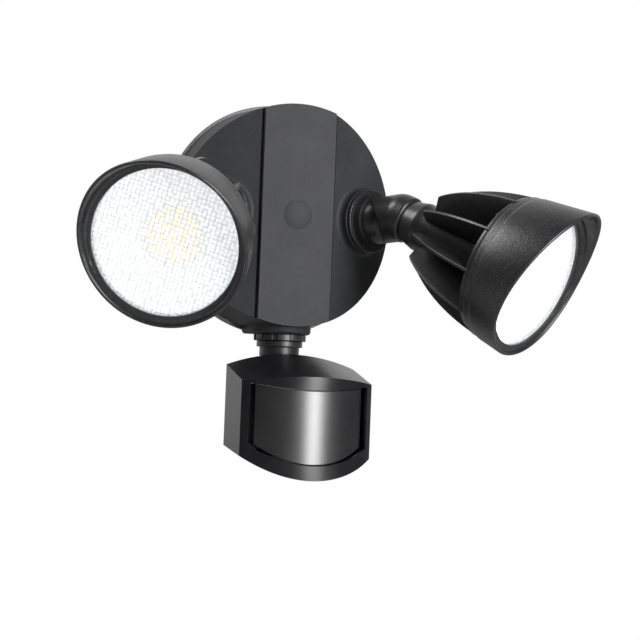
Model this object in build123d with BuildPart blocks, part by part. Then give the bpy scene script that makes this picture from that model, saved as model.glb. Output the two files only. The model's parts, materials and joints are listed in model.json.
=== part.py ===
"""Motion sensor security light for a wall box.

Units are millimetres and +Z is up. The origin is the centre of the wall face: the wall is the
plane y = 0, the front of the light faces -Y and its right-hand side as drawn is +X.
"""
from build123d import *
import os
from math import cos, radians, sin, tan

os.makedirs("parts", exist_ok=True)

# ---------------------------------------------------------------- fits and clearances
RUN_GAP = 0.3          # between faces that move past each other
SHAFT_GAP = 0.05       # radial, round a shaft that turns in its hole
SEAT_GAP = 0.1         # radial, round a fixed piece in its hole
CUT = 220.0            # larger than any piece, for trimming blocks

# ---------------------------------------------------------------- canopy
WALL = 3.0             # casting wall
GASKET_R = 78.5
GASKET_WIDTH = 14.0
GASKET_T = 3.0
PLATE_R = 80.0
PLATE_T = 2.5
CANOPY_REAR_R = 78.0
CANOPY_FRONT_R = 75.0
BAND_HALF = 25.3       # half width of the raised centre band
FACET_DEPTH = 50.6     # wall to the inner edge of each slanted facet
BAND_RISE = 2.9        # band front past the inner edge of each facet
BAND_DEPTH = FACET_DEPTH + BAND_RISE   # wall to the front of the band
TRIM_MARGIN = 10.0     # canopy outline past the back plate, before it is trimmed
FACET_ANGLE = 25.0
GROOVE_W = 1.8         # groove along the foot of the band
GROOVE_DEEP = 1.3
TICK_W = 1.1           # index mark between the band and each socket
TICK_DEEP = 0.5
BOX_SCREW_SPACING = 88.9   # screw spacing of a round or octagonal wall box
BRACKET_T = 2.0
BRACKET_END = 3.55     # metal left outside each slot
BRACKET_CORNER_R = 5.0
BRACKET_WIDTH = 22.0
BOX_SLOT_LENGTH = 12.0
BOX_SLOT_R = 2.4
ACCESS_HOLE_R = 4.5
WIRE_HOLE_R = 9.5
WIRE_HOLE_DROP = 21.5
PLATE_SCREW_RING_R = 60.0
PLATE_SCREW_R = 2.0
PLATE_SCREW_LENGTH = 16.0
SMALL_R = 1.5          # shank of the small screws
PLATE_HEAD = (3.6, 2.0, 1.0)    # screw heads: radius, height, width of the cross
SMALL_HEAD = (2.8, 1.8, 0.7)
BOARD_HEAD = (2.6, 1.0, 0.7)
BOLT_R = 4.0           # centre bolt shank
BOLT_GAP = 0.5         # radial, in the plate and casting
BOLT_HEAD_AF = 13.0
BOLT_HEAD_H = 5.3
PLUG_R = 9.75
PLUG_PROUD = 1.3
PLUG_T = 4.0
SLEEVE_R = 8.0
SLEEVE_WALL = 2.6
HEAD_SPACE = 1.5       # over the bolt's head
PILLAR_R = 5.0
PILLAR_SHORT = 11.1    # pillar end behind the inner edge of the facets
PLATE_EDGE = 0.8

# ---------------------------------------------------------------- lamp sockets
SOCKET_H = 7.0         # boss height above the facet
SOCKET_BASE_R = 25.5
SOCKET_FOOT = 3.5      # fillet at the foot of the boss
SOCKET_EDGE = 0.5
TICK_LENGTH = 2.0      # of the index mark, up to the boss
POCKET_R = 16.0
SPIGOT_R = 10.5
SPIGOT_DEEP = 13.0
SPIGOT_BORE_R = 7.0
SEAL_MINOR = 0.6
SEAL_DEEP = 1.0        # groove of the seal
SEAL_SINK = 0.35       # from the joint face to the seal's centre

# ---------------------------------------------------------------- arms and knuckles
FLANGE_INSET = 0.4     # from the boss's rim to the flange's
FLANGE_EDGE = 0.7
FLANGE_T = 2.5
DRUM_R = 18.0
DRUM_TOP = 15.0
KNUCKLE_R = 16.0
KNUCKLE_WALL = 3.6
KNUCKLE_H = 15.0       # facet to the centre of the knuckle joint
JOINT_SLANT = 45.0
JOINT_WALL = 4.0
SWIVEL_R = 4.5
SWIVEL_BORE_R = 2.6
NUT_AF = 26.0
ELBOW_RUN = 23.8       # knuckle joint to the elbow corner
HEAD_DROOP = 28.6      # bend of the elbow
ELBOW_END = 7.0        # elbow corner to the lamp head
ELBOW_EDGE = 2.2

# ---------------------------------------------------------------- lamp heads, along the beam from the elbow corner
COLLAR_R = 14.2
CORE_R = 16.0
FIN_COUNT = 10
FIN_T = 2.2
FIN_START = 26.7
FIN_FOOT_R = 18.5
FIN_TIP = (28.3, 28.8)     # radius and place of the fin's tip, middle and end
FIN_MIDDLE = (41.3, 55.0)
FIN_END_R = 48.5
COLLAR_PROFILE = ((15.0, 11.0), (16.8, 18.0), (16.0, 22.0))
CORE_END = 68.0
CORE_FLARE = (22.0, 79.0)
CORE_FLARE_R = 36.0
APERTURE_R = 45.0
LEDGE_W = 2.4          # ledge that the lens seats on
LENS_BORE_R = APERTURE_R + LEDGE_W
DISC_LAP = 0.1         # disc edge past the lens bore
DISC_R = LENS_BORE_R + DISC_LAP
DISC_REAR = 84.5
BEZEL_REAR = 88.0
BEZEL_WALL = 1.5
BEZEL_REAR_R = LENS_BORE_R + BEZEL_WALL
BEZEL_EDGE = 1.0
BEZEL_STEP = 1.1
BEZEL_BAND = 5.5
BEZEL_BOSS_R = 3.4
BEZEL_BOSS_H = 12.0
BEZEL_WEB = 3.2
VISOR_START = 95.0
VISOR_R = BEZEL_REAR_R + BEZEL_STEP
VISOR_FLARE = 0.115    # radius gained per mm of length
VISOR_WALL = 2.3
RIM_TOP = 134.2        # rim position on the long, middle and short sides
RIM_MIDDLE = 118.3
RIM_BOTTOM = 112.4
RIM_EDGE = 0.7
LEDGE_FRONT = 111.6
LEDGE_T = 2.0
LEDGE_RISE = 3.0
LEDGE_LIP_W = 2.2
LEDGE_LIP_R = APERTURE_R + LEDGE_LIP_W
LENS_T = 3.0
LENS_SEAL_T = 1.4
REFLECTOR_REAR_R = 19.5
REFLECTOR_RISE = 13.0
REFLECTOR_T = 1.0
BOARD_R = 24.0
BOARD_T = 1.6
CHIP = 3.2
CHIP_T = 0.9
CHIP_RING_R = (7.4, 14.6)
CHIP_RING_COUNTS = (6, 13)
BOARD_SCREW_RING_R = 20.8
BOARD_SCREW_COUNT = 3
BOARD_SCREW_LENGTH = 5.0
BEZEL_SCREW_INSET = 4.9
BEZEL_SCREW_RING_R = LENS_BORE_R - BEZEL_SCREW_INSET
BEZEL_SCREW_ANGLES = (18, 90, 198, 270)   # between fins
BEZEL_SCREW_LENGTH = 12.0

# ---------------------------------------------------------------- rest pose of the arms: (socket pan, knuckle swivel)
REST_POSE = {"right": (27.8, -4.8), "left": (25.7, -11.3)}

# ---------------------------------------------------------------- sensor mount
SENSOR_Y = -25.8
MOUNT_HALF = 21.0
MOUNT_BOTTOM = -80.0
MOUNT_T = 4.0
MOUNT_H = 20.0         # up into the canopy
MOUNT_EDGE = 2.5
MOUNT_BORE_H = 22.0
SENSOR_SEAL_R = 12.0
LOCK_RING_R = 17.85
LOCK_RING_BOTTOM = -84.5
LOCK_RING_SLOT_COUNT = 12
LOCK_RING_SLOT = (2.2, 3.4)
STEM_FLANGE_R = 15.7
STEM_FLANGE_BOTTOM = -88.7
STEM_R = 13.6
STEM_BOTTOM = -95.0
TONGUE_HALF = 6.0
TONGUE_R = 9.5
PIVOT_Z = -106.0
PIVOT_R = 3.0
EAR_T = 7.0

# ---------------------------------------------------------------- sensor head
LENS_HALF = 36.6
LENS_SIDE = 3.8        # lens to the side of the window
POST_W = 4.6           # window to the side of the head
HEAD_REAR = -51.0
HEAD_CORNER = -85.8
HEAD_FRONT = -103.0
ROOF_EDGE_Z = -101.9
ROOF_RISE = 8.4
ROOF_SLOPE = 16.0
CHIN_EDGE_Z = -155.4
CHIN_DROP = 11.7
CHIN_SLOPE = 9.1
SHELL_T = 2.5
REAR_PLATE_T = 2.5
WINDOW_GAP = 0.8       # round the lens
PIR_LENS_FRONT = -101.4
PIR_LENS_BULGE = 12.7
PIR_LENS_REAR = -78.0
PIR_LENS_T = 1.6
LENS_FLANGE = 2.5      # beyond each side of the lens
LENS_FLANGE_T = 2.0
LENS_FLANGE_H = 44.0
LENS_OPENING_H = 26.0
LENS_OPENING_INSET = 6.0
LENS_MIDDLE_Z = -134.5
WINDOW_TOP_SIDE = -114.6
WINDOW_TOP_MIDDLE = -118.1
WINDOW_BOTTOM_SIDE = -153.2
WINDOW_BOTTOM_MIDDLE = -165.2
DIAL_X = 13.0
DIAL_Y = -65.0
DIAL_R = 6.0
DIAL_SHAFT_R = 3.0
DIAL_POCKET_Z = -158.0
DIAL_H = 6.5
DIAL_NOTCH = (1.2, 2.0)     # pointer slot: width and depth
DIAL_RIB_R = 0.35
DIAL_RIB_COUNT = 24

# ---------------------------------------------------------------- derived values and planes
PLATE_FRONT = GASKET_T + PLATE_T
PILLAR_H = FACET_DEPTH - PILLAR_SHORT - PLATE_FRONT   # ends inside the slanted front wall
BRACKET_LENGTH = BOX_SCREW_SPACING + BOX_SLOT_LENGTH + 2 * BRACKET_END
SOCKET_R = SOCKET_BASE_R - SOCKET_FOOT
SOCKET_RUN = SOCKET_BASE_R + TICK_LENGTH + GROOVE_W    # facet's inner edge to the socket centre
SEAL_R = (POCKET_R + SOCKET_R) / 2
FLANGE_R = SOCKET_R - FLANGE_INSET
WINDOW_HALF = LENS_HALF + LENS_SIDE
HEAD_HALF = WINDOW_HALF + POST_W
FACET_COS = cos(radians(FACET_ANGLE))
FACET_SIN = sin(radians(FACET_ANGLE))
SOCKET_X = BAND_HALF + SOCKET_RUN * FACET_COS
SOCKET_Y = -FACET_DEPTH + SOCKET_RUN * FACET_SIN
RIGHT_FACET = Plane(origin=(SOCKET_X, SOCKET_Y, 0), x_dir=(FACET_COS, FACET_SIN, 0),
                    z_dir=(FACET_SIN, -FACET_COS, 0))
LEFT_FACET = Plane(origin=(-SOCKET_X, SOCKET_Y, 0), x_dir=(-FACET_COS, FACET_SIN, 0),
                   z_dir=(-FACET_SIN, -FACET_COS, 0))
PLATE_PLANE = Plane.XZ.offset(GASKET_T)
INNER_PLANE = Plane.XZ.offset(PLATE_FRONT)

JOINT_COS = cos(radians(JOINT_SLANT))
JOINT_SIN = sin(radians(JOINT_SLANT))
JOINT = Plane(origin=(0, 0, KNUCKLE_H), x_dir=(JOINT_COS, 0, -JOINT_SIN), z_dir=(JOINT_SIN, 0, JOINT_COS))
DROOP_COS = cos(radians(HEAD_DROOP))
DROOP_SIN = sin(radians(HEAD_DROOP))
HEAD = Plane(origin=(0, 0, KNUCKLE_H + ELBOW_RUN), x_dir=(0, DROOP_COS, DROOP_SIN),
             z_dir=(0, -DROOP_SIN, DROOP_COS))
HALF_GAP = RUN_GAP / 2

MIN_Z = (Align.CENTER, Align.CENTER, Align.MIN)
MAX_Z = (Align.CENTER, Align.CENTER, Align.MAX)


def arm_location(side):
    """Placement of a right-hand arm piece drawn with the socket centre at the origin, +Z out of the facet."""
    pan, _ = REST_POSE[side]
    return RIGHT_FACET.location * Location((0, 0, 0), (0, 0, pan))


def elbow_location(side):
    """Placement of a piece that also turns about the slanted knuckle joint."""
    _, swivel = REST_POSE[side]
    turn = JOINT.location * Location((0, 0, 0), (0, 0, swivel)) * JOINT.location.inverse()
    return arm_location(side) * turn


def save(piece, name):
    """Label a piece and write its STEP file."""
    piece.label = name
    export_step(piece, f"parts/{name}.step")


def save_side(piece, name, side, location):
    """Place an arm piece on one side, mirrored for the left, and write it."""
    placed = piece.moved(location)
    if side == "left":
        placed = mirror(placed, about=Plane.YZ)
    save(placed, f"{side}_{name}")


def cap_screw(shank_r, length, head):
    """Cross-recessed screw: the head stands on z = 0 towards +Z, the shank runs to -Z."""
    head_r, head_h, slot = head
    with BuildPart() as screw:
        Cylinder(head_r, head_h, align=MIN_Z)
        fillet(screw.edges().sort_by(Axis.Z)[-1], head_h * 0.4)
        Cylinder(shank_r, length, align=MAX_Z)
        with Locations((0, 0, head_h)):
            Box(head_r * 1.1, slot, head_h, mode=Mode.SUBTRACT)
            Box(slot, head_r * 1.1, head_h, mode=Mode.SUBTRACT)
    return screw.part


# ================================================================ fixed pieces against the wall
with BuildPart() as wall_gasket:
    with BuildSketch(Plane.XZ):
        Circle(GASKET_R)
        Circle(GASKET_R - GASKET_WIDTH, mode=Mode.SUBTRACT)
    extrude(amount=GASKET_T)
save(wall_gasket.part, "wall_gasket")

GROUND_X = 27.0
DRIVER_SIZE = (56.0, 36.0, 22.0)
DRIVER_Z = 38.0
DRIVER_CORNER_R = 2.0
DRIVER_TAB = 5.0
DRIVER_TAB_W = 10.0
DRIVER_TAB_T = 1.5
DRIVER_SCREW_LENGTH = 4.0
DRIVER_SCREW_X = DRIVER_SIZE[0] / 2 + DRIVER_TAB - SMALL_R
TERMINAL_SIZE = (44.0, 15.0, 12.0)
TERMINAL_Z = -42.0
TERMINAL_PITCH = (14.0, 8.0)
TERMINAL_HOLE_R = 2.4
TERMINAL_HOLE_DEEP = 5.0

with BuildPart() as back_plate:
    with BuildSketch(PLATE_PLANE):
        Circle(PLATE_R)
        Circle(BOLT_R + BOLT_GAP, mode=Mode.SUBTRACT)
        with Locations((0, -WIRE_HOLE_DROP)):
            Circle(WIRE_HOLE_R, mode=Mode.SUBTRACT)
        with Locations((-BOX_SCREW_SPACING / 2, 0), (BOX_SCREW_SPACING / 2, 0)):
            Circle(ACCESS_HOLE_R, mode=Mode.SUBTRACT)
        with Locations((GROUND_X, 0)):
            Circle(ACCESS_HOLE_R, mode=Mode.SUBTRACT)
        with PolarLocations(PLATE_SCREW_RING_R, 4, start_angle=45):
            Circle(PLATE_SCREW_R + SEAT_GAP, mode=Mode.SUBTRACT)
        with Locations((-DRIVER_SCREW_X, DRIVER_Z), (DRIVER_SCREW_X, DRIVER_Z)):
            Circle(SMALL_R + SEAT_GAP, mode=Mode.SUBTRACT)
    extrude(amount=PLATE_T)
    rim = back_plate.edges().filter_by(GeomType.CIRCLE).sort_by(SortBy.RADIUS)[-2:]
    fillet(rim.sort_by(Axis.Y)[0], PLATE_EDGE)
save(back_plate.part, "back_plate")

with BuildPart() as mounting_bracket:
    with BuildSketch(Plane.XZ):
        RectangleRounded(BRACKET_LENGTH, BRACKET_WIDTH, BRACKET_CORNER_R)
        with Locations((-BOX_SCREW_SPACING / 2, 0), (BOX_SCREW_SPACING / 2, 0)):
            SlotOverall(BOX_SLOT_LENGTH, 2 * BOX_SLOT_R, mode=Mode.SUBTRACT)
        Circle(BOLT_R + SEAT_GAP, mode=Mode.SUBTRACT)
        with Locations((GROUND_X, 0)):
            Circle(PLATE_SCREW_R + SEAT_GAP, mode=Mode.SUBTRACT)
    extrude(amount=BRACKET_T)
save(mounting_bracket.part, "mounting_bracket")

with BuildPart(Plane.XZ.offset(BRACKET_T)) as ground_screw:
    with Locations((GROUND_X, 0)):
        add(cap_screw(PLATE_SCREW_R, BRACKET_T, PLATE_HEAD))
save(ground_screw.part, "ground_screw")

# ================================================================ canopy casting
with BuildPart() as socket_boss:
    with BuildSketch(Plane.XZ):
        with BuildLine():
            Polyline((0, -WALL), (SOCKET_BASE_R, -WALL), (SOCKET_BASE_R, 0))
            RadiusArc((SOCKET_BASE_R, 0), (SOCKET_R, SOCKET_FOOT), SOCKET_FOOT)
            Polyline((SOCKET_R, SOCKET_FOOT), (SOCKET_R, SOCKET_H - SOCKET_EDGE),
                     (SOCKET_R - SOCKET_EDGE, SOCKET_H), (0, SOCKET_H), (0, -WALL))
        make_face()
    revolve(axis=Axis.Z)

with BuildPart() as socket_bore:
    Cylinder(POCKET_R, 2 * SOCKET_H, align=MIN_Z)
    Cylinder(SPIGOT_R + SHAFT_GAP, 3 * WALL, align=MAX_Z)
    with BuildSketch(Plane.XY.offset(SOCKET_H - SEAL_DEEP)):
        Circle(SEAL_R + SEAL_MINOR + SEAT_GAP)
        Circle(SEAL_R - SEAL_MINOR - SEAT_GAP, mode=Mode.SUBTRACT)
    extrude(amount=2 * SEAL_DEEP)


def canopy_envelope(inset, band_half, depth, facet_depth, groove):
    """Front outline of the canopy carried up and down, trimmed to the drafted drum."""
    reach = PLATE_R + TRIM_MARGIN
    facet_end = -facet_depth + (reach - band_half) * tan(radians(FACET_ANGLE))
    with BuildPart() as envelope:
        with BuildSketch(Plane.XY):
            with BuildLine():
                Polyline((-reach, -PLATE_FRONT), (-reach, facet_end), (-band_half, -facet_depth),
                         (-band_half, -depth), (band_half, -depth), (band_half, -facet_depth),
                         (reach, facet_end), (reach, -PLATE_FRONT), (-reach, -PLATE_FRONT))
            make_face()
            if groove:
                for sign in (-1, 1):
                    with Locations((sign * (band_half + GROOVE_W / 2), -facet_depth)):
                        Rectangle(GROOVE_W, 2 * GROOVE_DEEP, mode=Mode.SUBTRACT)
        extrude(amount=CUT / 2, both=True)
        if groove:
            with Locations(RIGHT_FACET, LEFT_FACET):
                add(socket_boss.part)
        with Locations(INNER_PLANE):
            Cone(CANOPY_REAR_R - inset, CANOPY_FRONT_R - inset, BAND_DEPTH - PLATE_FRONT,
                 align=MIN_Z, mode=Mode.INTERSECT)
    return envelope.part


canopy_outer = canopy_envelope(0, BAND_HALF, BAND_DEPTH, FACET_DEPTH, True)
inner_shift = WALL / FACET_COS - WALL * tan(radians(FACET_ANGLE))
canopy_inner = canopy_envelope(WALL, BAND_HALF - WALL, BAND_DEPTH - WALL, FACET_DEPTH - inner_shift, False)

with BuildPart() as sensor_mount:
    with BuildSketch(Plane.XY.offset(MOUNT_BOTTOM)):
        with Locations((0, SENSOR_Y)):
            Circle(MOUNT_HALF)
        with Locations((0, -PLATE_FRONT)):
            Rectangle(2 * MOUNT_HALF, -SENSOR_Y - PLATE_FRONT, align=(Align.CENTER, Align.MAX))
            Rectangle(2 * MOUNT_HALF, MOUNT_HALF, align=(Align.CENTER, Align.MIN), mode=Mode.SUBTRACT)
    extrude(amount=MOUNT_H)
    mount_rim = sensor_mount.faces().sort_by(Axis.Z)[0].edges().sort_by(Axis.Y)[:-1]
    fillet(mount_rim, MOUNT_EDGE)

SLEEVE_HEAD_R = PLUG_R + SEAT_GAP + SLEEVE_WALL
COUNTERBORE = BAND_DEPTH - PLUG_T - BOLT_HEAD_H - HEAD_SPACE
SLEEVE_END = BAND_DEPTH - WALL / 3    # inside the front wall

with BuildPart() as housing_shell:
    add(canopy_outer)
    add(sensor_mount.part)
    add(canopy_inner, mode=Mode.SUBTRACT)
    # screw pillars, bolt sleeve
    with Locations(INNER_PLANE):
        with PolarLocations(PLATE_SCREW_RING_R, 4, start_angle=45):
            Cylinder(PILLAR_R, PILLAR_H, align=MIN_Z)
        Cylinder(SLEEVE_R, SLEEVE_END - PLATE_FRONT, align=MIN_Z)
    with Locations(Plane.XZ.offset(COUNTERBORE - WALL)):
        Cylinder(SLEEVE_HEAD_R, SLEEVE_END - COUNTERBORE + WALL, align=MIN_Z)
    with Locations(Plane.XZ.offset(COUNTERBORE)):
        Cylinder(PLUG_R + SEAT_GAP, CUT, align=MIN_Z, mode=Mode.SUBTRACT)
    with Locations(Plane.XZ):
        Cylinder(BOLT_R + BOLT_GAP, BAND_DEPTH, align=MIN_Z, mode=Mode.SUBTRACT)
    with Locations(INNER_PLANE):
        with PolarLocations(PLATE_SCREW_RING_R, 4, start_angle=45):
            Cylinder(PLATE_SCREW_R + SEAT_GAP, PLATE_SCREW_LENGTH, align=MIN_Z, mode=Mode.SUBTRACT)
    # sockets
    with Locations(RIGHT_FACET, LEFT_FACET):
        add(socket_bore.part, mode=Mode.SUBTRACT)
    # hollow of the sensor mount and its stem hole
    with BuildSketch(Plane.XY.offset(MOUNT_BOTTOM + MOUNT_T)):
        with Locations((0, SENSOR_Y)):
            Circle(MOUNT_HALF - WALL)
    extrude(amount=MOUNT_BORE_H, mode=Mode.SUBTRACT)
    with Locations((0, SENSOR_Y, MOUNT_BOTTOM)):
        Cylinder(SPIGOT_R + SHAFT_GAP, 4 * MOUNT_T, mode=Mode.SUBTRACT)
    with BuildSketch(Plane.XY.offset(MOUNT_BOTTOM)):
        with Locations((0, SENSOR_Y)):
            Circle(SENSOR_SEAL_R + SEAL_MINOR + SEAT_GAP)
            Circle(SENSOR_SEAL_R - SEAL_MINOR - SEAT_GAP, mode=Mode.SUBTRACT)
    extrude(amount=SEAL_DEEP, mode=Mode.SUBTRACT)
    # index marks beside the sockets
    for facet in (RIGHT_FACET, LEFT_FACET):
        with Locations(facet.location * Location((-SOCKET_RUN + GROOVE_W, 0, 0))):
            Box(2 * TICK_LENGTH, TICK_W, 2 * TICK_DEEP, mode=Mode.SUBTRACT)
save(housing_shell.part, "housing_shell")

with BuildPart(Plane.XZ.offset(COUNTERBORE)) as centre_bolt:
    with BuildSketch(Plane.XZ.offset(COUNTERBORE)):
        RegularPolygon(BOLT_HEAD_AF / 2, 6, major_radius=False)
    extrude(amount=BOLT_HEAD_H)
    Cylinder(BOLT_R, COUNTERBORE, align=MAX_Z)
save(centre_bolt.part, "centre_bolt")

with BuildPart(Plane.XZ.offset(BAND_DEPTH - PLUG_T)) as bolt_plug:
    Cylinder(PLUG_R, PLUG_T + PLUG_PROUD, align=MIN_Z)
    fillet(bolt_plug.edges().sort_by(Axis.Y)[0], PLUG_PROUD * 0.9)
save(bolt_plug.part, "bolt_plug")

# ================================================================ electrics on the back plate
with BuildPart(INNER_PLANE) as led_driver:
    with Locations((0, DRIVER_Z)):
        Box(*DRIVER_SIZE, align=MIN_Z)
    fillet(led_driver.edges().filter_by(Axis.Y), DRIVER_CORNER_R)
    with Locations((-DRIVER_SCREW_X, DRIVER_Z), (DRIVER_SCREW_X, DRIVER_Z)):
        Box(2 * DRIVER_TAB, DRIVER_TAB_W, DRIVER_TAB_T, align=MIN_Z)
        Cylinder(SMALL_R + SEAT_GAP, 4 * DRIVER_TAB_T, mode=Mode.SUBTRACT)
save(led_driver.part, "led_driver")

with BuildPart(INNER_PLANE.offset(DRIVER_TAB_T)) as driver_screws:
    with Locations((-DRIVER_SCREW_X, DRIVER_Z), (DRIVER_SCREW_X, DRIVER_Z)):
        add(cap_screw(SMALL_R, DRIVER_SCREW_LENGTH, SMALL_HEAD))
save(driver_screws.part, "driver_screws")

with BuildPart(INNER_PLANE) as terminal_block:
    with Locations((0, TERMINAL_Z)):
        Box(*TERMINAL_SIZE, align=MIN_Z)
    with Locations(INNER_PLANE.offset(TERMINAL_SIZE[2])):
        with Locations((0, TERMINAL_Z)):
            with GridLocations(*TERMINAL_PITCH, 3, 2):
                Cylinder(TERMINAL_HOLE_R, 2 * TERMINAL_HOLE_DEEP, mode=Mode.SUBTRACT)
save(terminal_block.part, "terminal_block")

with BuildPart(Plane(origin=(0, -GASKET_T, 0), x_dir=(-1, 0, 0), z_dir=(0, 1, 0))) as plate_screws:
    with PolarLocations(PLATE_SCREW_RING_R, 4, start_angle=45):
        add(cap_screw(PLATE_SCREW_R, PLATE_SCREW_LENGTH, PLATE_HEAD))
save(plate_screws.part, "plate_screws")

with BuildPart() as socket_seal:
    with Locations((0, 0, SOCKET_H - SEAL_SINK)):
        Torus(SEAL_R, SEAL_MINOR)
for side in ("right", "left"):
    save_side(socket_seal.part, "socket_seal", side, arm_location(side))

with BuildPart() as sensor_seal:
    with Locations((0, SENSOR_Y, MOUNT_BOTTOM + SEAL_SINK)):
        Torus(SENSOR_SEAL_R, SEAL_MINOR)
save(sensor_seal.part, "sensor_seal")

# ================================================================ arms
BASE_BOTTOM = RUN_GAP
FLANGE_BOTTOM = SOCKET_H + RUN_GAP

with BuildPart() as arm_cavity:
    with Locations((0, 0, KNUCKLE_H)):
        Sphere(KNUCKLE_R - KNUCKLE_WALL)
        Cylinder(SPIGOT_BORE_R, KNUCKLE_H + SPIGOT_DEEP + 1, align=MAX_Z)
    with Locations(JOINT.offset(-JOINT_WALL - HALF_GAP)):
        Box(CUT, CUT, CUT, align=MIN_Z, mode=Mode.SUBTRACT)

with BuildPart() as knuckle_clearance:
    with Locations((0, 0, KNUCKLE_H)):
        Sphere(KNUCKLE_R + RUN_GAP)
    with Locations(JOINT.offset(-HALF_GAP)):
        Box(CUT, CUT, CUT, align=MAX_Z, mode=Mode.SUBTRACT)

with BuildPart() as flange:
    with Locations((0, 0, FLANGE_BOTTOM)):
        Cylinder(FLANGE_R, FLANGE_T, align=MIN_Z)
    fillet(flange.edges().filter_by(GeomType.CIRCLE), FLANGE_EDGE)

with BuildPart() as arm_base:
    with Locations((0, 0, KNUCKLE_H)):
        Sphere(KNUCKLE_R)
    with Locations((0, 0, FLANGE_BOTTOM)):
        Cylinder(DRUM_R, DRUM_TOP - FLANGE_BOTTOM, align=MIN_Z)
    with Locations(JOINT.offset(-HALF_GAP)):
        Box(CUT, CUT, CUT, align=MIN_Z, mode=Mode.SUBTRACT)
    with Locations((0, 0, BASE_BOTTOM)):
        Cylinder(POCKET_R - RUN_GAP, FLANGE_BOTTOM - BASE_BOTTOM, align=MIN_Z)
        Cylinder(SPIGOT_R, SPIGOT_DEEP + BASE_BOTTOM, align=MAX_Z)
    add(flange.part)
    add(knuckle_clearance.part, mode=Mode.SUBTRACT)
    add(arm_cavity.part, mode=Mode.SUBTRACT)
    with Locations(JOINT):
        Cylinder(SWIVEL_R + SHAFT_GAP, 3 * JOINT_WALL, mode=Mode.SUBTRACT)

WASHER_T = 1.5
NUT_T = 5.0
with BuildPart(Plane.XY.offset(-WALL - RUN_GAP)) as arm_washer:
    Cylinder(POCKET_R, WASHER_T, align=MAX_Z)
    Cylinder(SPIGOT_R + SEAT_GAP, CUT, mode=Mode.SUBTRACT)

with BuildPart() as arm_nut:
    with BuildSketch(Plane.XY.offset(-WALL - RUN_GAP - WASHER_T - NUT_T)):
        RegularPolygon(NUT_AF / 2, 6, major_radius=False)
        Circle(SPIGOT_R + SEAT_GAP, mode=Mode.SUBTRACT)
    extrude(amount=NUT_T)

# ================================================================ elbow, drawn with the knuckle at zero swivel
with BuildPart() as elbow_cavity:
    inner_r = KNUCKLE_R - KNUCKLE_WALL
    with Locations((0, 0, KNUCKLE_H)):
        Sphere(inner_r)
        Cylinder(inner_r, ELBOW_RUN, align=MIN_Z)
    with Locations(HEAD):
        Sphere(inner_r)
        Cylinder(inner_r, ELBOW_END + 1, align=MIN_Z)
    with Locations(JOINT.offset(JOINT_WALL + HALF_GAP)):
        Box(CUT, CUT, CUT, align=MAX_Z, mode=Mode.SUBTRACT)

SCREW_TURN = Location((0, 0, ELBOW_END / 2), (0, -90, 0))
with BuildPart() as elbow:
    with Locations((0, 0, KNUCKLE_H)):
        Sphere(KNUCKLE_R)
        Cylinder(KNUCKLE_R, ELBOW_RUN, align=MIN_Z)
    with Locations(HEAD):
        Sphere(KNUCKLE_R)
        Cylinder(KNUCKLE_R, ELBOW_END, align=MIN_Z)
    with Locations(JOINT.offset(HALF_GAP)):
        Box(CUT, CUT, CUT, align=MAX_Z, mode=Mode.SUBTRACT)
    with Locations(HEAD.offset(ELBOW_END)):
        Box(CUT, CUT, CUT, align=MIN_Z, mode=Mode.SUBTRACT)
    end_face = elbow.faces().sort_by(Axis(HEAD.origin, HEAD.z_dir))[-1]
    fillet(end_face.edges(), ELBOW_EDGE)
    add(elbow_cavity.part, mode=Mode.SUBTRACT)
    with Locations(JOINT):
        Cylinder(SWIVEL_R + SEAT_GAP, 3 * JOINT_WALL, mode=Mode.SUBTRACT)
    with Locations(HEAD.location * SCREW_TURN):
        Cylinder(PLATE_SCREW_R + SEAT_GAP, CUT / 4, align=MIN_Z, mode=Mode.SUBTRACT)

SWIVEL_HEAD_H = 3.5
SWIVEL_NUT_H = 4.0
SWIVEL_NUT_R = 7.4
with BuildPart(JOINT.offset(JOINT_WALL + HALF_GAP)) as swivel_bolt:
    Cylinder(SWIVEL_NUT_R, SWIVEL_HEAD_H, align=MIN_Z)
    Cylinder(SWIVEL_R, 2 * JOINT_WALL + 2 * RUN_GAP + SWIVEL_NUT_H, align=MAX_Z)
    with BuildSketch(JOINT.offset(-JOINT_WALL - HALF_GAP - RUN_GAP - SWIVEL_NUT_H)):
        RegularPolygon(SWIVEL_NUT_R, 6)
    extrude(amount=SWIVEL_NUT_H)
    with Locations(JOINT):
        Cylinder(SWIVEL_BORE_R, CUT, mode=Mode.SUBTRACT)

# ================================================================ lamp head, drawn along +Z from the elbow corner
NECK_R = KNUCKLE_R - KNUCKLE_WALL - SEAT_GAP
NECK_START = 1.0
SINK_BORE_R = 4.0
FIN_ROOT_R = CORE_R - FIN_T
with BuildPart() as fin:
    with BuildSketch(Plane.XZ):
        with BuildLine():
            Polyline((FIN_ROOT_R, FIN_START), (FIN_FOOT_R, FIN_START), FIN_TIP)
            ThreePointArc(FIN_TIP, FIN_MIDDLE, (FIN_END_R, BEZEL_REAR))
            Polyline((FIN_END_R, BEZEL_REAR), (FIN_ROOT_R, BEZEL_REAR), (FIN_ROOT_R, FIN_START))
        make_face()
    extrude(amount=FIN_T / 2, both=True)

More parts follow.
